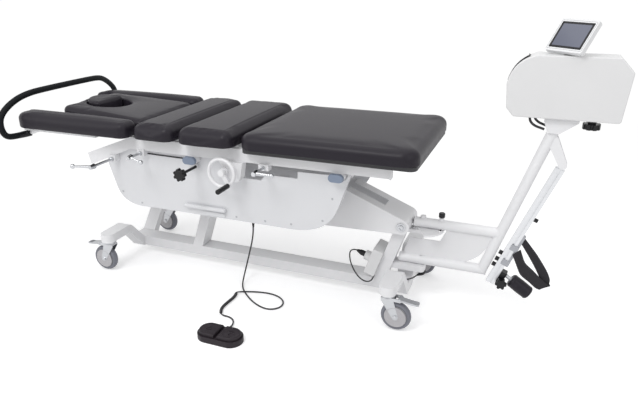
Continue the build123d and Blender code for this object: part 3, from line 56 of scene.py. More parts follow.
def there(points):
    """Places in metres in the row frame, as millimetres from the head casters' stem."""
    return (np.asarray(points, float) - HOME) * 1000.0


def points_of(mesh):
    """Points of a mesh."""
    co = np.empty(len(mesh.vertices) * 3)
    mesh.vertices.foreach_get("co", co)
    return co.reshape(-1, 3)


def shaped(obj):
    """Points of an object as its modifiers leave it, or of a curve's line."""
    mesh = bpy.data.meshes.new_from_object(obj.evaluated_get(bpy.context.evaluated_depsgraph_get()))
    points = points_of(mesh)
    bpy.data.meshes.remove(mesh)
    return points


def placed(name, data):
    """New object in the scene, made of some data."""
    obj = bpy.data.objects.new(name, data)
    bpy.context.scene.collection.objects.link(obj)
    return obj


def aimed(obj, right, up, ahead, place):
    """Stands a camera or a lamp at a place, looking ahead."""
    m = np.eye(4)
    m[:3, 0], m[:3, 1], m[:3, 2], m[:3, 3] = right, up, -ahead, place
    obj.matrix_world = Matrix(m.tolist())


# ---------------------------------------------------------------- camera
def set_camera():
    """Camera at 21.9 degrees round and 21.3 degrees up, rolled half a degree."""
    az, el, roll = math.radians(21.855), math.radians(21.285), math.radians(-0.477)
    ahead = np.array([-math.sin(az) * math.cos(el), math.cos(az) * math.cos(el), -math.sin(el)])
    right = np.array([math.cos(az), math.sin(az), 0.0])
    up = np.cross(right, ahead)
    r2 = math.cos(roll) * right + math.sin(roll) * up
    u2 = -math.sin(roll) * right + math.cos(roll) * up
    cam = bpy.data.cameras.new("camera")
    cam.lens, cam.sensor_width = 32.40, 36.0
    cam.clip_start, cam.clip_end = 0.05, 60.0
    eye = placed("camera", cam)
    aimed(eye, r2, u2, ahead, (1.017901, -2.102963, 1.33955))
    bpy.context.scene.camera = eye


set_camera()

# ---------------------------------------------------------------- cords
def cord_line(name, points, radius, share=None):
    """Round cord: a quadratic NURBS through its two ends, drawn by the points between them, each with its
    share of the radius."""
    curve = bpy.data.curves.new(name, "CURVE")
    curve.dimensions = "3D"
    curve.bevel_depth, curve.bevel_resolution, curve.use_fill_caps = 1.0, 5, True
    curve.resolution_u = 10
    line = curve.splines.new("NURBS")
    line.points.add(len(points) - 1)
    line.points.foreach_set("co", np.c_[here(points), np.ones(len(points))].ravel())
    line.points.foreach_set("radius", radius * np.broadcast_to(1.0 if share is None else share, len(points)))
    line.order_u = 3
    line.use_endpoint_u = True
    return placed(name, curve)


def followed(obj):
    """Points of a cord's line, read from its curve with no bevel, in metres."""
    depth = obj.data.bevel_depth
    obj.data.bevel_depth = 0.0
    bpy.context.view_layer.update()
    points = shaped(obj)
    obj.data.bevel_depth = depth
    return points


def length_of(points):
    """Sum of the steps between points."""
    return float(np.linalg.norm(np.diff(points, axis=0), axis=1).sum())


cord_d, coil_d = 7.0, 14.0
cord_r = cord_d / 2
coil_z = coil_d / 2 + 0.1
drop_route = [(686, -62, 281), (686, -63, 262), (684, -64, 226), (678, -69, 182),
              (669, -80, 134), (662, -97, 84), (659, -120, 42), (663, -148, 14), (676, -178, cord_r + 1.2),
              (699, -208, cord_r + 0.2), (735, -243, cord_r + 0.3), (781, -279, cord_r + 0.2),
              (828, -304, cord_r + 0.4), (869, -313, cord_r + 0.2), (900, -302, cord_r + 0.4),
              (918, -276, cord_r + 0.2), (917, -244, cord_r + 0.5), (896, -215, cord_r + 0.3),
              (858, -195, cord_r + 0.6), (812, -190, cord_r + 0.3), (764, -199, cord_r + 0.8),
              (724, -212, cord_r + 1.4), (696, -226, 6.2), (680, -238, coil_z)]
coil_route = [(680, -238, coil_z), (688, -262, coil_z + 0.1), (690, -292, coil_z), (686, -328, coil_z + 0.1),
              (684, -364, coil_z), (690, -396, coil_z + 0.1), (706, -420, coil_z)]
lead_route = [(706, -420, coil_z), (722, -426, 5.4), (744, -424, 4.2), (766, -432, 4.0), (783, -449, 5.2),
              (793, -472, 8.6), (798, -495, 11.0), (799, -518, 12.0)]
hose_routes = {"box_hose_a": [(1826, -12, 862), (1827, -12, 846), (1836, -11, 832), (1852, -10, 822),
                              (1870, -9, 817), (1881, -8, 813)],
               "box_hose_b": [(1842, 12, 862), (1843, 12, 850), (1850, 11, 840), (1862, 10, 832),
                              (1876, 9, 827), (1889, 8, 823)]}
column_lean = math.radians(19.0)
slope = np.array([math.sin(column_lean), 0, math.cos(column_lean)])
across = np.array([math.cos(column_lean), 0, -math.sin(column_lean)])
box_low = 101.0
box_corner = np.array([wheelbase + (box_low - pivot_z) * math.tan(column_lean), -30.0, box_low])
box_corner = box_corner - across * 25.3
plug_root = box_corner - across * (48 + 26) + slope * 68.75
plug_tip = plug_root - across * 40
loop_route = [tuple(plug_tip), (plug_tip[0] - 14, -32, plug_tip[2] + 3),
              (1152, -36, 206), (1151, -42, 188), (1156, -48, 164), (1168, -53, 138), (1184, -57, 113),
              (1204, -59, 92), (1227, -60, 80), (1250, -60, 82), (1264, -56, 96), (1268, -50, 114)]
mast_lead_route = [(1452, -8, 130), (1440, -10, 117), (1424, -15, 108), (1404, -20, 102.5),
                   (1380, -24, 100), (1351, -27, 100), (1322, -28, 100)]


# ---------------------------------------------------------------- shading
def bare_tree(owner):
    """The node tree of a material or a world, emptied."""
    owner.use_nodes = True
    owner.node_tree.nodes.clear()
    return owner.node_tree


def add(tree, kind, **values):
    """A node in tree, with its settings, and for its inputs either a value or the socket that feeds it."""
    n = tree.nodes.new("ShaderNode" + kind)
    for key, value in values.items():
        if hasattr(n, key) and not key[0].isupper():
            setattr(n, key, value)
        elif isinstance(value, bpy.types.NodeSocket):
            tree.links.new(value, n.inputs[key.replace("_", " ")])
        else:
            n.inputs[key.replace("_", " ")].default_value = value
    return n


def effect(name, inputs, outputs):
    """Empty shader node group with float inputs (name, default) and named float outputs."""
    g = bpy.data.node_groups.new(name, "ShaderNodeTree")
    for label, value in inputs:
        g.interface.new_socket(label, in_out="INPUT", socket_type="NodeSocketFloat").default_value = value
    for label in outputs:
        g.interface.new_socket(label, in_out="OUTPUT", socket_type="NodeSocketFloat")
    return g, g.nodes.new("NodeGroupInput"), g.nodes.new("NodeGroupOutput")


def maths(tree, operation, a, b=None, clamp=False):
    """One Math node on sockets or numbers."""
    n = add(tree, "Math", operation=operation, use_clamp=clamp)
    for i, v in enumerate((a, b)):
        if v is None:
            continue
        if isinstance(v, (int, float)):
            n.inputs[i].default_value = v
        else:
            tree.links.new(v, n.inputs[i])
    return n.outputs[0]


def grain_effect():
    """Leather grain: pebbles of two sizes, with a tone that is lighter on the pebbles."""
    g, i, o = effect("leather_grain", [("Pebble", 900.0), ("Crease", 60.0)], ["Height", "Tone"])
    place = add(g, "TexCoord").outputs["Object"]
    pebble = add(g, "TexVoronoi", feature="SMOOTH_F1", Vector=place, Scale=i.outputs["Pebble"])
    crease = add(g, "TexNoise", Detail=6.0, Roughness=0.6, Vector=place, Scale=i.outputs["Crease"])
    height = maths(g, "ADD", maths(g, "MULTIPLY", pebble.outputs["Distance"], -0.8), crease.outputs["Fac"])
    g.links.new(height, o.inputs["Height"])
    g.links.new(maths(g, "SUBTRACT", 1.0, pebble.outputs["Distance"], clamp=True), o.inputs["Tone"])
    return g


def coat_effect():
    """Sprayed coat: fine orange peel, and faint clouds that vary its colour and gloss."""
    g, i, o = effect("coat_texture", [("Peel", 700.0), ("Cloud", 5.0)], ["Height", "Cloudiness"])
    place = add(g, "TexCoord").outputs["Object"]
    peel = add(g, "TexNoise", Detail=3.0, Roughness=0.45, Vector=place, Scale=i.outputs["Peel"])
    cloud = add(g, "TexNoise", Detail=5.0, Roughness=0.55, Vector=place, Scale=i.outputs["Cloud"])
    g.links.new(peel.outputs["Fac"], o.inputs["Height"])
    g.links.new(cloud.outputs["Fac"], o.inputs["Cloudiness"])
    return g


def brush_effect():
    """Drawn or ground metal: streaks along X, with scattered finer scratches."""
    g, i, o = effect("brushed_lines", [("Across", 600.0), ("Along", 12.0)], ["Height", "Streak"])
    place = add(g, "TexCoord").outputs["Object"]
    fine = i.outputs["Across"]
    scale = add(g, "CombineXYZ", X=i.outputs["Along"], Y=fine, Z=fine)
    stretch = add(g, "VectorMath", operation="MULTIPLY")
    g.links.new(place, stretch.inputs[0])
    g.links.new(scale.outputs[0], stretch.inputs[1])
    lines = add(g, "TexNoise", Scale=1.0, Detail=4.0, Vector=stretch.outputs[0])
    g.links.new(lines.outputs["Fac"], o.inputs["Height"])
    g.links.new(lines.outputs["Fac"], o.inputs["Streak"])
    return g


def weave_effect():
    """Plain weave: two crossed waves, over and under in turn, on the surface's own UV map in metres."""
    g, i, o = effect("strap_weave", [("Threads", 650.0)], ["Height", "Gap"])
    parts = add(g, "SeparateXYZ", Vector=add(g, "UVMap").outputs[0])
    along = maths(g, "MULTIPLY", parts.outputs["Y"], maths(g, "MULTIPLY", i.outputs[0], 3.1))
    along = maths(g, "SINE", along)
    side = maths(g, "SINE", maths(g, "MULTIPLY", parts.outputs["X"], maths(g, "MULTIPLY", i.outputs[0], 6.2)))
    height = maths(g, "MULTIPLY", along, side)
    g.links.new(height, o.inputs["Height"])
    g.links.new(maths(g, "ABSOLUTE", height), o.inputs["Gap"])
    return g


grain, coat, brush, weave = grain_effect(), coat_effect(), brush_effect(), weave_effect()


def finish(name, colour, dark, group, mask, bump, rough, **shader):
    """Material: its two colours mixed by one of the group's outputs, with bump, and roughness between two
    values."""
    m = bpy.data.materials.new(name)
    t = bare_tree(m)
    g = add(t, "Group", node_tree=group)
    mix = add(t, "Mix", data_type="RGBA", Factor=g.outputs[mask])
    mix.inputs[6].default_value, mix.inputs[7].default_value = (*dark, 1), (*colour, 1)
    span = add(t, "MapRange", Value=g.outputs[mask], To_Min=rough[0], To_Max=rough[1])
    dent = add(t, "Bump", Strength=bump[0], Distance=bump[1], Height=g.outputs["Height"])
    p = add(t, "BsdfPrincipled", Base_Color=mix.outputs[2], Roughness=span.outputs[0], Normal=dent.outputs[0],
            **shader)
    add(t, "OutputMaterial", Surface=p.outputs[0])
    return m


def coated(name, colour, rough=(0.30, 0.40), bump=(0.10, 0.0004), shade=0.93, **shader):
    """Sprayed or moulded finish of one colour, a little darker in its clouds."""
    dark = tuple(c * shade for c in colour)
    return finish(name, colour, dark, coat, "Cloudiness", bump, rough, **shader)


def metal(name, colour, rough, bump=(0.05, 0.0002), **shader):
    """Bare metal with drawn lines."""
    return finish(name, colour, tuple(c * 0.8 for c in colour), brush, "Streak", bump, rough,
                  Metallic=1.0, **shader)


white_coat = coated("white_coat", (0.80, 0.80, 0.815))
white_sheet = coated("white_sheet", (0.69, 0.695, 0.715))
white_housing = coated("white_housing", (0.72, 0.72, 0.725), rough=(0.34, 0.42))
black_hide = finish("black_hide", (0.022, 0.019, 0.026), (0.011, 0.009, 0.013), grain, "Tone",
                    (0.22, 0.0008), (0.36, 0.45), Specular_IOR_Level=0.165, Coat_Weight=0.05,
                    Coat_Roughness=0.26)
foam = coated("grip_foam", (0.004, 0.005, 0.007), rough=(0.55, 0.7), bump=(0.5, 0.0008), shade=0.7,
              Specular_IOR_Level=0.16)
cap_plastic = coated("cap_plastic", (0.20, 0.245, 0.33), rough=(0.42, 0.5))
zinc = metal("zinc", (0.60, 0.61, 0.63), (0.25, 0.40))
tread = coated("tread", (0.185, 0.19, 0.22), rough=(0.5, 0.62), shade=0.85)
disc_plastic = coated("disc_plastic", (0.45, 0.44, 0.455), rough=(0.38, 0.46))
chrome = metal("chrome", (0.60, 0.61, 0.63), (0.10, 0.20), bump=(0.02, 0.0001))
black_plastic = coated("black_plastic", (0.009, 0.009, 0.011), rough=(0.26, 0.36), shade=0.75,
                       Specular_IOR_Level=0.3)
pedal_plastic = coated("pedal_plastic", (0.024, 0.018, 0.023), rough=(0.40, 0.52), shade=0.75,
                       Specular_IOR_Level=0.24)
steel = metal("steel", (0.52, 0.53, 0.55), (0.28, 0.42))
extrusion = metal("extrusion", (0.74, 0.75, 0.77), (0.32, 0.45))
slide_plastic = coated("slide_plastic", (0.40, 0.41, 0.44), rough=(0.4, 0.5))
webbing = finish("webbing", (0.020, 0.016, 0.022), (0.008, 0.007, 0.009), weave, "Gap",
                 (0.6, 0.0006), (0.7, 0.85))
case = coated("display_case", (0.76, 0.765, 0.775), rough=(0.3, 0.38))
panel = coated("screen_panel", (0.125, 0.135, 0.185), rough=(0.10, 0.16), bump=(0.0, 0.0), shade=0.82)
cord_rubber = coated("cord_rubber", (0.022, 0.021, 0.024), rough=(0.42, 0.55), shade=0.75)
board_sheet = coated("board_sheet", (0.03, 0.03, 0.033), rough=(0.5, 0.6))
print_grey = coated("print_grey", (0.20, 0.20, 0.22), rough=(0.4, 0.5))

cad_finish = {"frame_white": white_coat, "skirt_white": white_sheet, "housing_white": white_housing,
              "pad_black": black_hide, "grip_foam": foam, "cap_blue": cap_plastic, "caster_steel": zinc,
              "tyre_grey": tread, "chrome": chrome, "black_plastic": black_plastic, "steel": steel,
              "aluminium": extrusion, "slide_grey": slide_plastic, "strap": webbing,
              "screen_glass": panel, "display_case": case, "cord": cord_rubber, "board": board_sheet}
slot_of = {s["node"]: s["material_slot"] for s in frame["record"]["subparts"]}
for node, obj in frame["nodes"].items():
    obj.data.materials.clear()
    obj.data.materials.append(cad_finish[slot_of[node]])
for node in ("foot_pedal", "pedal_up", "pedal_down"):
    frame["nodes"][node].data.materials[0] = pedal_plastic


# ---------------------------------------------------------------- surfaces
def lattice(grid, wrap_rows=False, wrap_cols=True, low=False, high=False):
    """Quads through a grid of points (row, column, xyz), each joined along its row and to the next row.
    An end that is closed gets a fan of triangles to the middle of its row.
    Returns points, quads and triangles."""
    g = np.asarray(grid, float)
    rows, cols = g.shape[:2]
    r, c = np.meshgrid(np.arange(rows if wrap_rows else rows - 1),
                       np.arange(cols if wrap_cols else cols - 1), indexing="ij")
    r2, c2 = (r + 1) % rows, (c + 1) % cols
    quads = np.stack([r * cols + c, r * cols + c2, r2 * cols + c2, r2 * cols + c], -1).reshape(-1, 4)
    points = [g.reshape(-1, 3)]
    fans = []
    i = np.arange(cols)
    for closed, row, flip in ((low, 0, True), (high, rows - 1, False)):
        if closed:
            pole = np.full(cols, rows * cols + len(fans))
            points.append(g[row].mean(0)[None])
            a, b = row * cols + i, row * cols + (i + 1) % cols
            fans.append(np.stack([pole, b, a] if flip else [pole, a, b], -1))
    tris = np.concatenate(fans) if fans else np.zeros((0, 3), int)
    return np.concatenate(points), quads, tris


def outward(form):
    """The form with its faces turned so that the volume they enclose is positive."""
    p, q, t = form
    both = np.concatenate([q[:, [0, 1, 2]], q[:, [0, 2, 3]], t])
    volume = np.einsum("ij,ij->i", p[both[:, 0]], np.cross(p[both[:, 1]], p[both[:, 2]])).sum()
    return (p, q[:, ::-1], t[:, ::-1]) if volume < 0 else form


def together(forms):
    """Points, quads and triangles of several forms as one form."""
    points, quads, tris = zip(*forms)
    starts = np.cumsum([0] + [len(p) for p in points[:-1]])
    return (np.concatenate(points), np.concatenate([q + start for q, start in zip(quads, starts)]),
            np.concatenate([t + start for t, start in zip(tris, starts)]))


def piece(name, forms, body, materials, replaces=(), uses=None, crease=35.0, flat=None):
    """One object from several forms in millimetres, each with its own material number, riding on a body.
    flat gives each point's place on the uncut cloth, in metres, which becomes its UV map."""
    forms = [outward(f) for f in forms]
    uses = uses or [0] * len(forms)
    marks = [np.full(len(form[k]), use) for k in (1, 2) for form, use in zip(forms, uses)]
    p, q, t = together(forms)
    mesh = bpy.data.meshes.new(name)
    mesh.vertices.add(len(p))
    mesh.vertices.foreach_set("co", here(p).ravel())
    mesh.loops.add(q.size + t.size)
    mesh.loops.foreach_set("vertex_index", np.concatenate([q.ravel(), t.ravel()]).astype(np.int32))
    mesh.polygons.add(len(q) + len(t))
    sizes = np.concatenate([np.full(len(q), 4), np.full(len(t), 3)])
    mesh.polygons.foreach_set("loop_start", np.concatenate([[0], np.cumsum(sizes)[:-1]]).astype(np.int32))
    mesh.polygons.foreach_set("material_index", np.concatenate(marks).astype(np.int32))
    mesh.update(calc_edges=True)
    mesh.validate()
    mesh.shade_smooth()
    mesh.set_sharp_from_angle(angle=math.radians(crease))
    if flat is not None:
        corner = np.empty(len(mesh.loops), np.int32)
        mesh.loops.foreach_get("vertex_index", corner)
        mesh.uv_layers.new(name="flat").data.foreach_set("uv", np.asarray(flat, np.float32)[corner].ravel())
    obj = placed(name, mesh)
    for m in materials if isinstance(materials, (list, tuple)) else [materials]:
        mesh.materials.append(m)
    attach(obj, body)
    if replaces:
        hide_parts(*replaces)
    return obj


def frame_along(path):
    """Two directions square to a path at each of its points, carried along with the least turning."""
    tangent = np.gradient(path, axis=0)
    tangent /= np.linalg.norm(tangent, axis=1)[:, None]
    side = np.zeros_like(path)
    first = np.cross(tangent[0], (0.0, 0.0, 1.0))
    if np.linalg.norm(first) < 0.2:
        first = np.cross(tangent[0], (0.0, 1.0, 0.0))
    side[0] = first / np.linalg.norm(first)
    for k in range(1, len(path)):
        s = side[k - 1] - tangent[k] * np.dot(side[k - 1], tangent[k])
        side[k] = s / np.linalg.norm(s)
    return side, np.cross(tangent, side)


def tube(path, radius, around=24):
    """Circle of a radius, or of one for each point, carried along a path and closed at both ends."""
    path = np.asarray(path, float)
    side, rise = frame_along(path)
    turn = np.linspace(0, 2 * np.pi, around, endpoint=False)
    r = np.broadcast_to(np.asarray(radius, float), (len(path),))[:, None, None]
    ring = np.cos(turn)[None, :, None] * side[:, None] + np.sin(turn)[None, :, None] * rise[:, None]
    return lattice(path[:, None] + r * ring, low=True, high=True)


def about(axis, around):
    """An axis of length one, the angles of points spaced evenly round it, and their directions from it."""
    axis = np.asarray(axis, float) / np.linalg.norm(axis)
    side = np.cross(axis, (0.0, 0.0, 1.0) if abs(axis[2]) < 0.9 else (1.0, 0.0, 0.0))
    side /= np.linalg.norm(side)
    turn = np.linspace(0, 2 * np.pi, around, endpoint=False)
    return axis, turn, np.cos(turn)[:, None] * side + np.sin(turn)[:, None] * np.cross(axis, side)


def spun(profile, origin, axis, around):
    """Grid of a profile of (distance along the axis, radius), spun round that axis from an origin."""
    profile = np.asarray(profile, float)
    axis, _, ring = about(axis, around)
    return np.asarray(origin, float) + profile[:, :1, None] * axis + profile[:, 1:, None] * ring


def turned(profile, origin, axis, around=48, closed=(True, True)):
    """Profile of (distance along the axis, radius) turned round that axis from an origin."""
    return lattice(spun(profile, origin, axis, around), low=closed[0], high=closed[1])


def ring_of(loop, origin, axis, around=48):
    """Closed profile of (distance along the axis, radius), turned round that axis into a ring."""
    return lattice(spun(loop, origin, axis, around), wrap_rows=True)


def smooth_line(points, steps=8):
    """Quadratic B-spline through the first and last point, drawn by those between."""
    p = np.asarray(points, float)
    mid = (p[1:-2] + p[2:-1]) / 2
    knots = np.concatenate([p[:1], mid, p[-1:]])
    s = np.linspace(0, 1, steps, endpoint=False)[:, None]
    runs = [(1 - s) ** 2 * knots[k] + 2 * s * (1 - s) * p[k + 1] + s ** 2 * knots[k + 1]
            for k in range(len(knots) - 1)]
    return np.concatenate(runs + [p[-1:]])


def run_of(path):
    """Distance run along a path up to each of its points."""
    return np.r_[0, np.cumsum(np.linalg.norm(np.diff(path, axis=0), axis=1))]


def gathers(loop, seed):
    """Irregular waves round an outline, about one high: seven sines of 6 to 22 mm per radian."""
    run = run_of(loop)
    rng = np.random.default_rng(seed)
    waves = [rng.uniform(0.4, 1) * np.sin(run / rng.uniform(6, 22) + rng.uniform(0, 6.3)) for _ in range(7)]
    return sum(waves) / 3


# ---------------------------------------------------------------- cushions
def arc(centre, radius, start, end, n):
    """Points on an arc in a plane, without its last one."""
    a = np.linspace(start, end, n, endpoint=False)
    return np.asarray(centre) + radius * np.c_[np.cos(a), np.sin(a)]


def rounded(corners, radii, steps):
    """Outline of a four-sided shape with rounded corners, run anticlockwise as four sides of points.
    Each side goes from the middle of one corner's arc to the middle of the next."""
    c = np.asarray(corners, float)
    starts, middles, ends = [], [], []
    for k in range(4):
        into = c[k] - c[k - 1]
        out = c[(k + 1) % 4] - c[k]
        into, out = into / np.linalg.norm(into), out / np.linalg.norm(out)
        turn = math.acos(float(np.clip(into @ out, -1, 1)))
        reach = radii[k] * math.tan(turn / 2)
        centre = c[k] - into * reach + radii[k] * np.array([-into[1], into[0]])
        a0 = math.atan2(*(c[k] - into * reach - centre)[::-1])
        starts.append(arc(centre, radii[k], a0, a0 + turn / 2, 7))
        ends.append(arc(centre, radii[k], a0 + turn / 2, a0 + turn, 7))
        middles.append((c[k] - into * reach, c[k] + out * reach))
    sides = []
    for k in range(4):
        j = (k + 1) % 4
        s = np.linspace(0, 1, steps[k % 2], endpoint=False)[:, None]
        straight = middles[k][1] * (1 - s) + middles[j][0] * s
        sides.append(np.concatenate([ends[k], straight, starts[j]]))
    return sides


def inset(loop, distance):
    """The closed outline moved inwards, square to itself, by a distance."""
    t = np.roll(loop, -1, axis=0) - np.roll(loop, 1, axis=0)
    t /= np.linalg.norm(t, axis=1)[:, None]
    return loop + distance * np.c_[-t[:, 1], t[:, 0]]


def filled(loop, counts):
    """Grid over the inside of a closed outline of four sides: opposite sides are joined across and their
    corners' own plane is taken away, which is a Coons patch."""
    n, m = counts
    a = loop[:n + 1]
    b = loop[n:n + m + 1]
    c = loop[n + m:2 * n + m + 1][::-1]
    d = np.concatenate([loop[2 * n + m:], loop[:1]])[::-1]
    u = np.linspace(0, 1, n + 1)[None, :, None]
    v = np.linspace(0, 1, m + 1)[:, None, None]
    ruled = (1 - v) * a[None] + v * c[None] + (1 - u) * d[:, None] + u * b[:, None]
    flat = (1 - u) * (1 - v) * a[0] + u * (1 - v) * a[-1] + (1 - u) * v * c[0] + u * v * c[-1]
    return ruled - flat


def edge_rows(low, high, round_r, deep):
    """Rows (inset, height) of an upholstered edge: out from under, up the side and over a round top edge."""
    tuck = 5.0
    a = np.radians(np.linspace(0, 90, 8))
    rise = np.linspace(low + tuck, high - round_r, 6)[:-1]
    return np.concatenate([[(deep, low), (tuck, low + 0.2), (tuck * 0.3, low + tuck * 0.4)],
                           np.c_[np.zeros(5), rise],
                           np.c_[round_r * (1 - np.cos(a)), high - round_r + round_r * np.sin(a)],
                           [(round_r + 1.5, high)]])


def wall_rows(loop, low, high, round_r, pucker, seed, deep=25.0):
    """Rows of points of an upholstered edge along an outline, with shallow gathers that fade upwards."""
    waves = gathers(loop, seed)
    grid = []
    for d, z in edge_rows(low, high, round_r, deep):
        fade = max(0.0, 1 - (z - low) / (0.75 * (high - low))) if d < deep else 0.0
        ring = inset(loop, d)
        ring = ring + (ring - inset(ring, 1.0)) * (pucker * waves * fade)[:, None]
        grid.append(np.c_[ring, np.full(len(ring), z)])
    return grid


def pad_form(sides, low, high, round_r=30.0, crown=3.0, pucker=0.5, seed=1, deep=25.0):
    """Closed crowned cushion on an outline of four sides: two Coons patches joined by the rows of its edge.
    Its top rises by crown (1 - |u|^2.5) (1 - |v|^2.5), and gathers round its lower edge fade upwards."""
    loop = np.concatenate(sides)
    counts = (len(sides[0]), len(sides[1]))
    grid = np.array(wall_rows(loop, low, high, round_r, pucker, seed, deep))
    wall = lattice(grid)
    n, m = counts
    top = filled(grid[-1][:, :2], counts)
    u = np.linspace(-1, 1, n + 1)[None, :]
    v = np.linspace(-1, 1, m + 1)[:, None]
    lift = crown * (1 - np.abs(u) ** 2.5) * (1 - np.abs(v) ** 2.5)
    top = np.dstack([top, high + lift])
    under = np.dstack([filled(grid[0][:, :2], counts), np.full_like(lift, low)])
    return wall, lattice(top, wrap_cols=False), lattice(under[::-1], wrap_cols=False)


def joined(forms):
    """One closed form from several that share border points: points closer than a hundredth of a millimetre
    become one."""
    p, q, t = together(forms)
    _, first, back = np.unique(np.round(p, 2), axis=0, return_index=True, return_inverse=True)
    back = back.ravel()
    return p[first], back[q], back[t]


def even(form):
    """The form with its neighbouring faces turned the same way, and all of them outwards."""
    mesh = bpy.data.meshes.new("tmp")
    p, q, t = form
    mesh.from_pydata(p.tolist(), [], q.tolist() + t.tolist())
    bm = bmesh.new()
    bm.from_mesh(mesh)
    bmesh.ops.recalc_face_normals(bm, faces=bm.faces[:])
    bm.to_mesh(mesh)
    bm.free()
    faces = [list(f.vertices) for f in mesh.polygons]
    q = np.array([f for f in faces if len(f) == 4]).reshape(-1, 4)
    t = np.array([f for f in faces if len(f) == 3], int).reshape(-1, 3)
    bpy.data.meshes.remove(mesh)
    return p, q, t


def filled_out(obj, low, swell):
    """Blows the cushion up as cloth, held along its underside; each point stays within swell of its start."""
    mesh = obj.data
    before = points_of(mesh)
    held = obj.vertex_groups.new(name="held")
    held.add(np.nonzero(before[:, 2] < low / 1000 + 0.0015)[0].tolist(), 1.0, "REPLACE")
    cloth = obj.modifiers.new("cloth", "CLOTH")
    s = cloth.settings
    s.use_pressure, s.uniform_pressure_force = True, 4.0
    s.vertex_group_mass = "held"
    s.effector_weights.gravity = 0.0
    s.tension_stiffness = s.compression_stiffness = 25.0
    s.bending_stiffness = 4.0
    s.quality = 6
    cloth.collision_settings.use_collision = False
    frames = 20
    cloth.point_cache.frame_start, cloth.point_cache.frame_end = 1, frames
    scene = bpy.context.scene
    for f in range(1, frames + 1):
        scene.frame_set(f)
    move = shaped(obj) - before
    obj.modifiers.remove(cloth)
    obj.vertex_groups.clear()
    scene.frame_set(1)
    far = np.linalg.norm(move, axis=1)[:, None]
    move *= np.minimum(1.0, swell / 1000 / np.maximum(far, 1e-9))
    mesh.vertices.foreach_set("co", (before + move).ravel())
    mesh.update()


def box_sides(x0, x1, half, r, steps):
    """Four sides of a rectangle with rounded corners, drawn in by a little for the cloth to fill."""
    return rounded([(x0, -half), (x1, -half), (x1, half), (x0, half)], [r] * 4, steps)


def set_on(name, form, body, low, swell=4.0, lean=None):
    """Upholstered pad in place of its CAD solid: blown up as cloth, leant with its section, smoothed once."""
    obj = piece(name + "_hide", [even(joined(form))], body, black_hide, replaces=[name],
                crease=180.0)
    filled_out(obj, low, swell)
    if lean is not None:
        obj.data.vertices.foreach_set("co", lean(points_of(obj.data)).ravel())
        obj.data.update()
    smooth = obj.modifiers.new("smooth", "SUBSURF")
    smooth.levels = smooth.render_levels = 1
    return obj


draw_in = 2.0       # what the outline is drawn in by, for the cloth to fill
table_half, table_top = 325.0, 767.0
for name, body, x0, x1, low, r, steps in (("chest_pad", "table", 262, 463, 704, 42, (14, 46)),
                                          ("waist_pad", "table", 484, 742, 704, 42, (18, 46)),
                                          ("leg_pad", "leg_section", 764, 1492, 706, 66, (52, 44))):
    sides = box_sides(x0 + draw_in, x1 - draw_in, table_half - draw_in, r, steps)
    set_on(name, pad_form(sides, low, table_top, round_r=33.0, crown=4.5, seed=x1), body, low)

# head section: its pads lie on planes of their own
hinge_at = np.array([232.0, 0.0, 697.0])
pad_tilt = math.radians(3.6)
head_ends, head_half = (-477.0, 6.0), (187.0, 214.0)
hole_at, hole_long, hole_wide = -344.0, 108.0, 93.0
head_low, head_thick, plug_proud = 8.0, 52.0, 16


def half_at(x):
    """Half width of the centre pad at x, from its hinge."""
    return head_half[0] + (x - head_ends[0]) / (head_ends[1] - head_ends[0]) * (head_half[1] - head_half[0])


def lean_head(points):
    """Points in metres that were laid out level from the head pad's hinge, turned up by its tilt about it."""
    base = here([(0.0, 0.0, 0.0)])[0]
    p = (points - base) * 1000
    x, z = p[:, 0].copy(), p[:, 2].copy()
    p[:, 0] = hinge_at[0] + x * math.cos(pad_tilt) + z * math.sin(pad_tilt)
    p[:, 2] = hinge_at[2] - x * math.sin(pad_tilt) + z * math.cos(pad_tilt)
    return p / 1000 + base


def holed_form(loop, centre, reach, low, high, round_r, pucker, seed):
    """Closed ring between an outline and an ellipse, both sampled at the same angles from the centre.
    It runs out from under, up the wall, over the edge, across the crowned top and down the hole's wall."""
    a = np.arctan2(loop[:, 1] - centre[1], loop[:, 0] - centre[0])
    order = np.argsort(a)
    order = np.r_[order[-1], order, order[0]]
    angles = a[order]
    angles[0] -= 2 * np.pi
    angles[-1] += 2 * np.pi
    turn = np.linspace(-np.pi, np.pi, 180, endpoint=False)
    ring = np.stack([np.interp(turn, angles, loop[order, k]) for k in (0, 1)], 1)
    hole = np.asarray(centre) + np.c_[reach[0] * np.cos(turn), reach[1] * np.sin(turn)]
    grid = wall_rows(ring, low, high, round_r, pucker, seed)
    lip = 12.0
    inner_top = inset(hole, -lip)
    outer_top = grid[-1][:, :2]
    for s in np.linspace(0, 1, 16)[1:-1]:
        p = outer_top * (1 - s) + inner_top * s
        grid.append(np.c_[p, np.full(len(p), high + 2.5 * math.sin(math.pi * s))])
    for t in np.radians(np.linspace(0, 90, 7)):
        p = inset(hole, -lip * (1 - math.sin(t)))
        grid.append(np.c_[p, np.full(len(p), high - lip * (1 - math.cos(t)))])
    for z in np.linspace(high - lip, low, 7)[1:]:
        grid.append(np.c_[hole, np.full(len(hole), z)])
    under_out, under_in = grid[0][:, :2], hole
    for s in np.linspace(1, 0, 12)[1:-1]:
        p = under_out * (1 - s) + under_in * s
        grid.append(np.c_[p, np.full(len(p), low)])
    return [lattice(grid, wrap_rows=True)]


head_loop = np.concatenate(rounded([(head_ends[0] + draw_in, -half_at(head_ends[0]) + draw_in),
                                    (head_ends[1] - draw_in, -half_at(head_ends[1]) + draw_in),
                                    (head_ends[1] - draw_in, half_at(head_ends[1]) - draw_in),
                                    (head_ends[0] + draw_in, half_at(head_ends[0]) - draw_in)],
                                   [44, 30, 30, 44], (40, 32)))
set_on("head_pad", holed_form(head_loop, (hole_at, 0.0), (hole_long + 1, hole_wide + 1), head_low,
                              head_low + head_thick - 2, 24.0, 0.4, 5),
       "head_rest", head_low, swell=3.0, lean=lean_head)

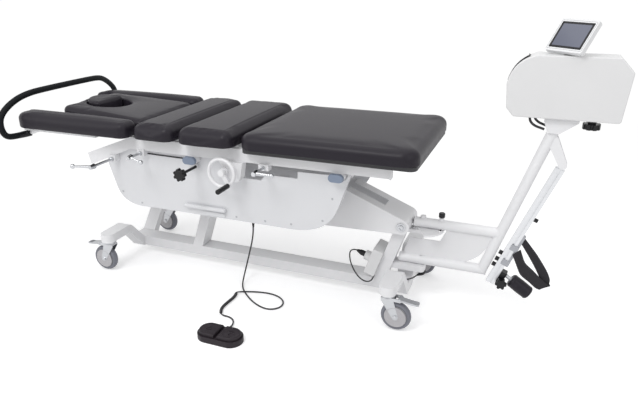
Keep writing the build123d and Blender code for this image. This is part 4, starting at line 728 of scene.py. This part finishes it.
# plug in the head-side part of the hole, with a straight edge across it
edge_at = hole_at + 10.0
gap = 3.5
a0 = math.acos((edge_at - hole_at) / (hole_long - gap))
turn = np.linspace(a0, 2 * math.pi - a0, 61)
plug = np.c_[hole_at + (hole_long - gap) * np.cos(turn), (hole_wide - gap) * np.sin(turn)]
corner = 9.0
near_end, far_end = plug[-1, 1], plug[0, 1]
plug = np.concatenate([plug[3:-3],
                       [(edge_at - 3.5, near_end + 5), (edge_at, near_end + corner)],
                       np.c_[np.full(17, edge_at),
                             np.linspace(near_end + corner, far_end - corner, 19)[1:-1]],
                       [(edge_at, far_end - corner), (edge_at - 3.5, far_end - 5)]])
plug = np.roll(plug, 10, axis=0)
set_on("face_plug", pad_form([plug[:19], plug[19:38], plug[38:57], plug[57:]], head_low + 1,
                             head_low + head_thick + plug_proud, round_r=16.0, crown=2.0, pucker=0.2, seed=9,
                             deep=18.0), "face_plug", head_low + 1, swell=1.0, lean=lean_head)

beside = 9.0        # from the centre pad's side to an arm pad's
arm_ends, arm_half, arm_low, arm_top = (-400, 236), 330, 700, 768.0
for name, side in (("arm_pad_near", -1), ("arm_pad_far", 1)):
    x0, x1, out = arm_ends[0] + draw_in, arm_ends[1] - draw_in, arm_half - draw_in
    inner0 = head_half[0] + beside + draw_in + 10
    inner1 = half_at(x1 - hinge_at[0]) + beside + draw_in
    if side > 0:
        sides = rounded([(x0, inner0), (x1, inner1), (x1, out), (x0, out)], [40, 35, 35, 75], (50, 9))
    else:
        sides = rounded([(x0, -out), (x1, -out), (x1, -inner1), (x0, -inner0)], [75, 35, 35, 40], (50, 9))
    set_on(name, pad_form(sides, arm_low, arm_top, round_r=29.0, crown=4.0, seed=3 + side), "head_section",
           arm_low)

# ---------------------------------------------------------------- small forms
def screw(place, axis, r):
    """Low domed screw with a socket in its head, standing on a washer."""
    head = [(0, 1.45 * r), (0.10 * r, 1.5 * r), (0.18 * r, 1.42 * r), (0.18 * r, r), (0.35 * r, r),
            (0.6 * r, 0.86 * r), (0.72 * r, 0.5 * r), (0.72 * r, 0.4 * r), (0.4 * r, 0.36 * r)]
    return turned(head, place, axis, around=24)


def nut(place, axis, r, high):
    """Six-sided nut with its corners turned off, and the rounded end of its bolt."""
    axis, turn, ring = about(axis, 36)
    six = 1 / np.cos((turn + np.pi / 6) % (np.pi / 3) - np.pi / 6)
    one = np.ones(len(turn))
    rows = [(0, r * six), (0.75 * high, r * six), (high, r * 0.96 * one), (high, r * 0.55 * one),
            (high + 0.22 * r, r * 0.42 * one)]
    grid = [np.asarray(place, float) + h * axis + reach[:, None] * ring for h, reach in rows]
    return lattice(grid, low=True, high=True)


def bead(path, radius, seed=0):
    """Weld bead along a path: a tube whose radius ripples from one pool to the next."""
    ripple, pool = 0.18, 3.2
    return tube(path, radius * (1 + ripple * np.sin(run_of(path) * 2 * np.pi / pool + seed)), around=8)


# ---------------------------------------------------------------- free cords
def curled(route, outer, strand, pitch):
    """Strand of a curly cord: a helix round the line of a route, opening out from it and closing in again."""
    guide = cord_line("curl_guide", route, 0.001)
    line = there(followed(guide))
    bpy.data.objects.remove(guide)
    run = run_of(line)
    turns = round(run[-1] / pitch)
    s = np.linspace(0, run[-1], turns * 14 + 1)
    middle = np.stack([np.interp(s, run, line[:, k]) for k in range(3)], 1)
    side, rise = frame_along(middle)
    reach = (outer - strand) / 2 * np.clip(np.minimum(s, run[-1] - s) / (2 * pitch), 0, 1)
    a = 2 * np.pi * turns * s / run[-1]
    return middle + reach[:, None] * (np.cos(a)[:, None] * side + np.sin(a)[:, None] * rise)


def free_cord(name, points, diameter, body, share=None):
    """Cord with both ends in the object; the length of its own line is worked out and not kept."""
    obj = cord_line(name, points, diameter / 2000, share)
    obj.data.materials.append(cord_rubber)
    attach(obj, body)
    length_of(followed(obj))
    return obj


strand_d = 4.6
curl = curled(coil_route, coil_d, strand_d, 5.4)
pedal_points = np.concatenate([drop_route[:-1], curl, lead_route[1:]])
strand_share = np.concatenate([np.ones(len(drop_route) - 1), np.full(len(curl), strand_d / cord_d),
                               np.ones(len(lead_route) - 1)])
gland = piece("cord_gland", [tube([(686, -62, 295), (686, -62, 281), (686, -62, 279), (686, -62.2, 268),
                                   (686, -62.5, 258)], [8, 8, 6.4, 5.2, 4.2])],
              "base", black_plastic)
sleeve = piece("pedal_sleeve", [tube([lead_route[-1], (798.8, -510, 11.6), (798, -500, 11.2),
                                      (796.5, -489, 10.3)], [7.5, 6.5, 5.4, 4.2])],
               "base", black_plastic)
pedal_line = free_cord("pedal_line", pedal_points, cord_d, "base", share=strand_share)
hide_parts("pedal_cord", "pedal_coil")

plug_axis = plug_tip - plug_root
plug_shape = [(0, 12.2), (2, 13), (9, 13), (10, 12), (12, 12), (13, 13), (18, 12.6), (19, 11.2), (21, 11.2),
              (22, 11.6), (27, 9.6), (28, 8.4), (30, 8.4), (31, 8.6), (36, 6.4), (40, 5)]
control_plug = piece("control_plug", [turned(plug_shape, plug_root, plug_axis)], "base",
                     black_plastic, crease=50)
control_line = free_cord("control_line", loop_route, 6.0, "base")
mast_plug_line = smooth_line([(1474, -8, 153.5), (1473.5, -8, 146), (1468, -8, 138), (1460, -8, 133),
                              (1450, -8, 128)], 5)
mast_plug_r = np.interp(np.linspace(0, 1, 16), [0, 0.3, 0.6, 1], [12, 11.5, 8.6, 4.6])
mast_plug = piece("mast_plug", [tube(mast_plug_line, mast_plug_r)], "base", black_plastic)
free_cord("mast_line", mast_lead_route, 6.0, "base")
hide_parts("connectors")
hoses = [free_cord(name, route, 9.0, "mast")
         for name, route in hose_routes.items()]
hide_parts("box_cable")

# ---------------------------------------------------------------- grip bar
grip_low, grip_high, grip_wide = 657.0, 849.0, 384.0
grip_half = [(-375, -255, grip_low + 3), (-396, -318, grip_low), (-403, 16 - grip_wide, grip_low + 7),
             (-404, -2 - grip_wide, 706), (-402, 2 - grip_wide, 756), (-396, 41 - grip_wide, 795),
             (-384, -290, grip_high - 23), (-368, -238, grip_high - 6), (-360, -165, grip_high)]
grip_points = grip_half + [(x, -y, z) for x, y, z in reversed(grip_half)]
grip_line = smooth_line(grip_points, 10)
ends = [tube([grip_line[k], grip_line[k] + (grip_line[k + n] - grip_line[k]) * 0.5, grip_line[k + n]],
             [15.0, 15.4, 14.2]) for k, n in ((0, 5), (-1, -5))]
piece("grip_sleeve", [tube(grip_line, 14.0, around=32)] + ends, "head_section",
      [foam, black_plastic], replaces=["handlebar_grip"], uses=[0, 1, 1])

# ---------------------------------------------------------------- roll
fold_lean = math.radians(21.6)
fold_at = np.array([1962.0, 0.0, 684.0])
fold_axis = np.array([-math.sin(fold_lean), 0, -math.cos(fold_lean)])
fold_side = np.array([math.cos(fold_lean), 0, -math.sin(fold_lean)])
roll_dir = np.array([math.cos(math.radians(34)), 0, -math.sin(math.radians(34))])
roll_from = fold_at + fold_axis * 518 + fold_side * 65.6
roll_long, roll_r, roll_edge = 92, 28, 9
end_round = [(roll_edge - roll_edge * math.sin(a), roll_r - roll_edge * (1 - math.cos(a)))
             for a in np.radians(np.linspace(90, 0, 9))]
body_rows = [(x, roll_r + 0.9 * math.sin(math.pi * (x - 10) / 72) ** 2) for x in np.linspace(10, 82, 19)]
seam = [(-0.4, 28.5), (0, 28.9), (0.4, 28.5)]
roll_shape = ([(0, 0.5), (0, 10)] + end_round + [(roll_edge + a, r) for a, r in seam] + body_rows
              + [(roll_long - roll_edge + a, r) for a, r in seam]
              + [(roll_long - x, r) for x, r in reversed(end_round)] + [(roll_long, 10), (roll_long, 0.5)])
roll = piece("roll_hide", [turned(roll_shape, roll_from, roll_dir, around=64)], "fold_rail",
             black_hide, replaces=["bolster"], crease=180)
piece("roll_neck", [turned([(-23.4, 8), (-4, 8), (-3.5, 12), (-0.4, 12)], roll_from, roll_dir, around=32)],
      "fold_rail", steel)


# ---------------------------------------------------------------- harness webbing
def ribbon(left, right, levels, thick):
    """Strap between two edge lines in the XZ plane, at levels along Y: its form and its UV map."""
    a, b = smooth_line(left, 9), smooth_line(right, 9)
    y = np.interp(np.linspace(0, 1, len(a)), np.linspace(0, 1, len(levels)), levels)
    run = run_of((a + b) / 2)
    width = float(np.linalg.norm(b - a, axis=1).mean())
    across = np.array([0, 0.02, 0.25, 0.5, 0.75, 0.98, 1, 0.98, 0.75, 0.5, 0.25, 0.02])
    depth = thick / 2 * np.array([0, 1, 1, 1, 1, 1, 0, -1, -1, -1, -1, -1])
    grid = np.empty((len(a), 12, 3))
    grid[:, :, 0] = a[:, :1] * (1 - across) + b[:, :1] * across
    grid[:, :, 2] = a[:, 1:] * (1 - across) + b[:, 1:] * across
    grid[:, :, 1] = y[:, None] + depth
    form = lattice(grid, low=True, high=True)
    flat = np.stack(np.meshgrid(across * width, run), -1).reshape(-1, 2)
    flat = np.concatenate([flat, [[width / 2, run[0]], [width / 2, run[-1]]]]) / 1000
    return form, flat


def stitches(p, y):
    """Row of stitches along a line in the XZ plane, on a strap's face at y."""
    gap, long, r = 4.2, 2.6, 0.35
    run = run_of(p)
    made = []
    for s in np.arange(gap, run[-1] - gap, gap):
        start, end = (np.array([np.interp(s + d, run, p[:, 0]), y, np.interp(s + d, run, p[:, 1])])
                      for d in (0, long))
        mid = (start + end) / 2 - np.array([0, 0.35, 0])
        made.append(tube([start, mid, end], [r * 0.7, r, r * 0.7], around=6))
    return made


band_thick = 2.6
near_left = [(1827, 297), (1845, 258), (1863, 217), (1880, 202), (1900, 190), (1917, 176), (1932, 164),
             (1944, 162)]
near_right = [(1856, 325), (1866, 299), (1877, 272), (1892, 258), (1910, 245), (1934, 222), (1958, 200),
              (1976, 190)]
far_left = [(1856.4, 341.6), (1880, 308), (1902, 274), (1921, 243), (1937, 214), (1944, 198), (1946, 186),
            (1948, 170)]
far_right = [(1867.4, 369), (1894, 338), (1920, 307), (1944, 273), (1966, 240), (1978, 214), (1980, 200),
             (1978, 190)]
band_near, flat_near = ribbon(near_left, near_right, [-17.1, -17.1, -17.4, -17.1], band_thick)
band_far, flat_far = ribbon(far_left, far_right, [-4.5, -4.5, -6.0, -9.0], band_thick)
fold_left = [(1948, 172), (1940, 166), (1942, 160), (1946, 162)]
fold_right = [(1978, 192), (1984, 186), (1982, 182), (1976, 190)]
band_fold, flat_fold = ribbon(fold_left, fold_right, [-9.0, -13.0, -17.1], band_thick)
piece("harness_webbing", [band_near, band_far, band_fold], "rail_slides", webbing,
      replaces=["harness_strap"], flat=np.concatenate([flat_near, flat_far, flat_fold]), crease=60)
sewn = []
for left, right, y in ((near_left, near_right, -18.5), (far_left, far_right, -5.9)):
    a, b = smooth_line(left[:6], 6), smooth_line(right[:6], 6)
    for share in (0.09, 0.91):
        sewn += stitches((a * (1 - share) + b * share)[4:-4], y)
piece("harness_thread", sewn, "rail_slides", print_grey)

# ---------------------------------------------------------------- casters
wheel_r, half_wide, trail, track = 62.5, 15.0, 36.0, 250.0
cover_out, cheek_out = 17.9, 19.5       # where the covers and the nuts sit, out from the wheel's middle
brake_in, brake_z = 52, 140             # pivot of a brake pedal, from the stem
crown = np.linspace(-half_wide, half_wide, 13)
round_r = (half_wide ** 2 + 7.0 ** 2) / 14.0
tyre_loop = ([(-13.2, 46.6), (-14.4, 49), (-15, 53)]
             + [(y, wheel_r - round_r + math.sqrt(round_r ** 2 - y ** 2)) for y in crown]
             + [(15, 53), (14.4, 49), (13.2, 46.6)])
rim_half = [(-14.2, 6.4), (-14.2, 14), (-8, 18), (-6, 38), (-13.2, 42), (-13.8, 46.4)]
rim_loop = rim_half + [(-y, r) for y, r in reversed(rim_half)]
cover_steps = [(0, 44.6), (1.0, 44.2), (1.6, 42.8), (1.6, 40.6), (0.8, 39.6), (0.5, 31), (1.1, 30.2),
               (1.1, 28.6), (0.4, 27.8), (0.3, 20), (0.3, 0.5)]
for tag, x, side, way in (("hn", 0, -1, -1), ("hf", 0, 1, -1), ("fn", wheelbase, -1, 1),
                          ("ff", wheelbase, 1, 1)):
    axle = np.array([x + way * trail, side * track, wheel_r])
    piece("tyre_" + tag, [ring_of(tyre_loop, axle, (0, 1, 0), 96), ring_of(rim_loop, axle, (0, 1, 0), 64)],
          "wheel_" + tag, [tread, disc_plastic], replaces=["caster_wheel_" + tag], uses=[0, 1])
    trims, marks = [], []
    for out in (1, -1):
        face = axle + np.array([0, out * cover_out, 0])
        trims.append(turned(cover_steps, face, (0, out, 0), 64, closed=(False, True)))
        marks.append(0)
        trims.append(nut(axle + np.array([0, out * cheek_out, 0]), (0, out, 0), 9.0, 4.2))
        marks.append(1)
        pivot = (x + way * brake_in, side * track + out * cheek_out, brake_z)
        trims.append(screw(pivot, (0, out, 0), 5.0))
        marks.append(1)
    for high, r in ((149.6, 27.4), (143.4, 24.6)):      # the two rings of the swivel's races
        trims.append(ring_of([(-1.2, r - 3), (-1.6, r), (0, r + 0.8), (1.6, r), (1.2, r - 3)],
                             (x, side * track, high), (0, 0, 1), 64))
        marks.append(1)
    piece("fork_trim_" + tag, trims, "fork_" + tag, [disc_plastic, zinc], uses=marks)
    lines = [tube([(x + way * along, side * track + off, 138.6 - drop) for off in (-12, 12)], 0.9, around=8)
             for along, drop in ((104, 1.5), (109, 2.1), (114, 2.7), (119, 3.2))]
    piece("brake_ribs_" + tag, lines, "brake_" + tag, zinc)

# ---------------------------------------------------------------- screws, bolts, weld beads
skirt_out = 232.0
skirt_spots = [(107, 420), (208, 376), (700, 378), (838, 380), (958, 384), (1098, 420), (1140, 520)]
for name, side in (("front", -1), ("rear", 1)):
    screws = [screw((x, side * skirt_out, z), (0, side, 0), 3.4) for x, z in skirt_spots]
    piece("skirt_screws_" + name, screws, "table", steel)
arm_out = 83.0
piece("pivot_bolts_arm_foot", [screw((wheelbase, side * arm_out, pivot_z), (0, side, 0), 13.0)
                               for side in (1, -1)], "arm_foot", zinc)

mast_foot, mast_tilt, tube_r = 1715.0, math.radians(18.2), 21.0
tube_low, tube_high = 203.0, 376.0


def mast_x(z):
    """Place of the mast's axis at a height."""
    return mast_foot + (z - tube_low) * math.tan(mast_tilt)


turn = np.linspace(0, 2 * np.pi, 97)
rise = tube_r * np.sin(turn)
joint_line = np.stack([mast_x(tube_high + rise) - tube_r * np.abs(np.sin(turn)) / math.cos(mast_tilt),
                       tube_r * np.cos(turn), tube_high + rise], 1)
half_turn = math.tan((math.pi / 2 - mast_tilt) / 2)
mitre = np.stack([mast_foot + rise * -half_turn, tube_r * np.cos(turn), tube_low + rise], 1)
beads = [bead(joint_line, 1.5), bead(mitre, 1.2, seed=1)]
web_side = 3.4      # the web's welds run along both tubes, on each side of it
for s in (1, -1):
    for x0, x1, z, n in ((1392, 1628, 223.7, 120), (1565, 1742, 355.4, 90)):
        seam_line = np.stack([np.linspace(x0, x1, n), np.full(n, s * web_side), np.full(n, z)], 1)
        beads.append(bead(seam_line, 1.1))
piece("mast_beads", beads, "mast", white_coat)

# ---------------------------------------------------------------- thin black rod along the front skirt, just under the rail
rod_y = -(skirt_out + 3.0)
rod_line = [(x, rod_y, z) for x, z in ((258.0, 619.0), (360.0, 617.6), (462.0, 616.4))]
piece("dark_skirt_rod", [tube(rod_line, 2.8, around=16)], "table", black_plastic)

# ---------------------------------------------------------------- foot pedal
pedal_at, tread_top = np.array([791.0, -567.0]), 37.6


def raised_outline(corners, low, high, wide):
    """Closed line of a mark that stands on a tread: a low flat ridge along its corners."""
    c = np.asarray(corners, float)
    c = np.concatenate([c, c[:1]])
    rows = []
    for a, b in zip(c[:-1], c[1:]):
        d = (b - a) / np.linalg.norm(b - a)
        n = np.array([-d[1], d[0]]) * wide / 2
        section = [(n, low), (n * 0.8, high), (-n * 0.8, high), (-n, low)]
        grid = [[(*(p + off), z) for off, z in section] for p in (a - d * wide / 2, b + d * wide / 2)]
        rows.append(lattice(grid, low=True, high=True))
    return rows


for name, side in (("pedal_up", -1), ("pedal_down", 1)):
    mid = pedal_at + np.array([side * 46.0, 0])
    point = -side
    marks = raised_outline([mid + (12.0, -point * 9.0), mid + (-12.0, -point * 9.0), mid + (0, point * 12.0)],
                           tread_top, tread_top + 1.6, 2.2)
    for offset in (-34.0, 34.0):
        ridge = [(mid[0] + end, mid[1] + offset * 0.86, tread_top + 0.2) for end in (-24, 24)]
        marks.append(tube(ridge, 1.0, around=8))
    piece(name + "_mark", marks, name, pedal_plastic)

# ---------------------------------------------------------------- display and housing
def node_points(name):
    """Points of a CAD node's mesh, in millimetres from the head casters' stem."""
    return there(points_of(frame["nodes"][name].data))


glass = node_points("screen")
glass_mid = (glass.max(0) + glass.min(0)) / 2
face_out = np.linalg.svd(glass - glass.mean(0))[2][2]
face_out = face_out if face_out[1] < 0 else -face_out
face_right = np.cross((0, 0, 1.0), face_out)
face_right /= np.linalg.norm(face_right)
face_up = np.cross(face_out, face_right)
flat_x, flat_y, flat_z = ((glass - glass_mid) @ v for v in (face_right, face_up, face_out))
middle = (glass_mid + face_right * (flat_x.max() + flat_x.min()) / 2
          + face_up * (flat_y.max() + flat_y.min()) / 2)
half_x, half_y, front = (flat_x.max() - flat_x.min()) / 2, (flat_y.max() - flat_y.min()) / 2, flat_z.max()


def window(half_x, half_y, wide, low, high, r):
    """Flat frame on the screen's face, with rounded corners, wide in from its outline."""
    corners = [(-half_x, -half_y), (half_x, -half_y), (half_x, half_y), (-half_x, half_y)]
    outline = np.concatenate(rounded(corners, [r] * 4, (6, 6)))
    rows = []
    for inner, level in ((0, low), (0, high), (wide, high), (wide, low)):
        loop = inset(outline, inner)
        rows.append(middle + loop[:, :1] * face_right + loop[:, 1:] * face_up + (front + level) * face_out)
    return lattice(rows, wrap_rows=True)


piece("screen_border", [window(half_x - 0.1, half_y - 0.1, 8.0, -0.3, 0.25, 3.2)], "display",
      black_plastic)
piece("case_groove", [window(half_x + 5.4, half_y + 5.6, 0.8, -0.2, 0.22, 5.0)], "display",
      print_grey)

# the housing's nose is an arc through three points, and its slot has a raised lip on each side
nose = np.array([(1736.0, 977.0), (1762.0, 1040.0), (1829.0, 1081.0)])
lines = np.c_[2 * (nose[1:] - nose[0]), (nose[1:] ** 2).sum(1) - (nose[0] ** 2).sum()]
nose_mid = np.linalg.solve(lines[:, :2], lines[:, 2])
nose_r = float(np.linalg.norm(nose[0] - nose_mid))
a0, a1 = (math.atan2(z - nose_mid[1], x - nose_mid[0]) for x, z in ((1739.5, 988.0), (1805.0, 1070.0)))
sweep = np.linspace(a0 % (2 * math.pi), a1 % (2 * math.pi), 40)
lip_section = ((23.2, -3.0), (23.2, 1.3), (25.2, 1.7), (27.6, 1.3), (28.0, -0.4))
root = np.array([nose_mid[0], 0, nose_mid[1]])
lips = []
for side in (1, -1):
    rows = []
    for a in sweep:
        way = np.array([math.cos(a), 0, math.sin(a)])
        rows.append([root + way * (nose_r + up) + np.array([0, side * y, 0]) for y, up in lip_section])
    lips.append(lattice(rows, low=True, high=True))
lining = [(1763.0, 987.2), (1779.4, 1011.6), (1805.0, 1052.4), (1802.0, 1066.0), (1799.4, 1078.0)]
lining_section = ((-23.6, 0.0), (-23.6, 1.0), (23.6, 1.0), (23.6, 0.0))
grid = [[(x - d, y, z + d * 0.5) for y, d in lining_section] for x, z in lining]
piece("slot_lining", lips + [lattice(grid, low=True, high=True)], "mast", black_plastic)
piece("tube_plug", [turned([(0, 20.4), (1.6, 20.4), (3.0, 18.6), (3.2, 8), (2.4, 6), (2.4, 0.5)],
                           (1425, 0, tube_high), (-1, 0, 0))], "mast", print_grey)

# ---------------------------------------------------------------- floor, light
def seen_in(tree):
    """One for rays that reach the camera straight, mirrored or through glass, and nought for the others."""
    ray = add(tree, "LightPath").outputs
    return maths(tree, "MAXIMUM", maths(tree, "MAXIMUM", ray["Is Camera Ray"], ray["Is Glossy Ray"]),
                 ray["Is Transmission Ray"])


floor = bpy.data.materials.new("floor")
t = bare_tree(floor)
seen = seen_in(t)
far = add(t, "VectorMath", operation="LENGTH", Vector=add(t, "TexCoord").outputs["Object"])
span = add(t, "MapRange", interpolation_type="SMOOTHSTEP", From_Min=1.7, From_Max=4.5,
           Value=far.outputs["Value"])
matt = add(t, "BsdfDiffuse", Color=(0.82, 0.82, 0.825, 1))
near_glow = add(t, "Emission", Color=(1, 1, 1, 1), Strength=maths(t, "MULTIPLY", seen, 0.36))
far_glow = add(t, "Emission", Strength=maths(t, "ADD", maths(t, "MULTIPLY", seen, 0.4), 0.62))
both = add(t, "AddShader")
t.links.new(matt.outputs[0], both.inputs[0])
t.links.new(near_glow.outputs[0], both.inputs[1])
mixed = add(t, "MixShader")
for k, source in enumerate((span, both, far_glow)):
    t.links.new(source.outputs[0], mixed.inputs[k])
add(t, "OutputMaterial", Surface=mixed.outputs[0])
ground = bpy.data.meshes.new("floor")
size = 60.0
ground.from_pydata([(x * size, y * size, -0.0006) for x, y in ((-1, -1), (1, -1), (1, 1), (-1, 1))],
                   [], [(0, 1, 2, 3)])
ground.materials.append(floor)
ground_obj = placed("floor", ground)

world = bpy.data.worlds.new("studio")
bpy.context.scene.world = world
t = bare_tree(world)
glow = maths(t, "ADD", maths(t, "MULTIPLY", seen_in(t), 0.34), 0.66)
sky = add(t, "Background", Color=(1, 1, 1, 1), Strength=glow)
add(t, "OutputWorld", Surface=sky.outputs[0])


def lamp(name, power, size, place, aim):
    """Square soft lamp at a place, aimed at a point."""
    data = bpy.data.lights.new(name, "AREA")
    data.energy, data.size = power, size
    ahead = np.asarray(aim, float) - np.asarray(place, float)
    ahead /= np.linalg.norm(ahead)
    right = np.cross(ahead, (0, 0, 1.0))
    right = right / np.linalg.norm(right) if np.linalg.norm(right) > 1e-6 else np.array([1.0, 0, 0])
    aimed(placed(name, data), right, np.cross(right, ahead), ahead, place)


lamp("lamp_above", 28, 3.2, (0.2, 0.1, 3.6), (0.1, 0.1, 0.3))
lamp("lamp_front", 42, 1.2, (-0.6, -2.3, 3.2), (0.0, 0.0, 0.6))
lamp("lamp_left", 20, 2.2, (-2.6, -2.4, 2.4), (0.0, 0.0, 0.5))
lamp("lamp_right", 14, 2.0, (3.0, -1.6, 2.0), (0.4, 0.0, 0.5))
bpy.context.scene.view_settings.view_transform = "Standard"
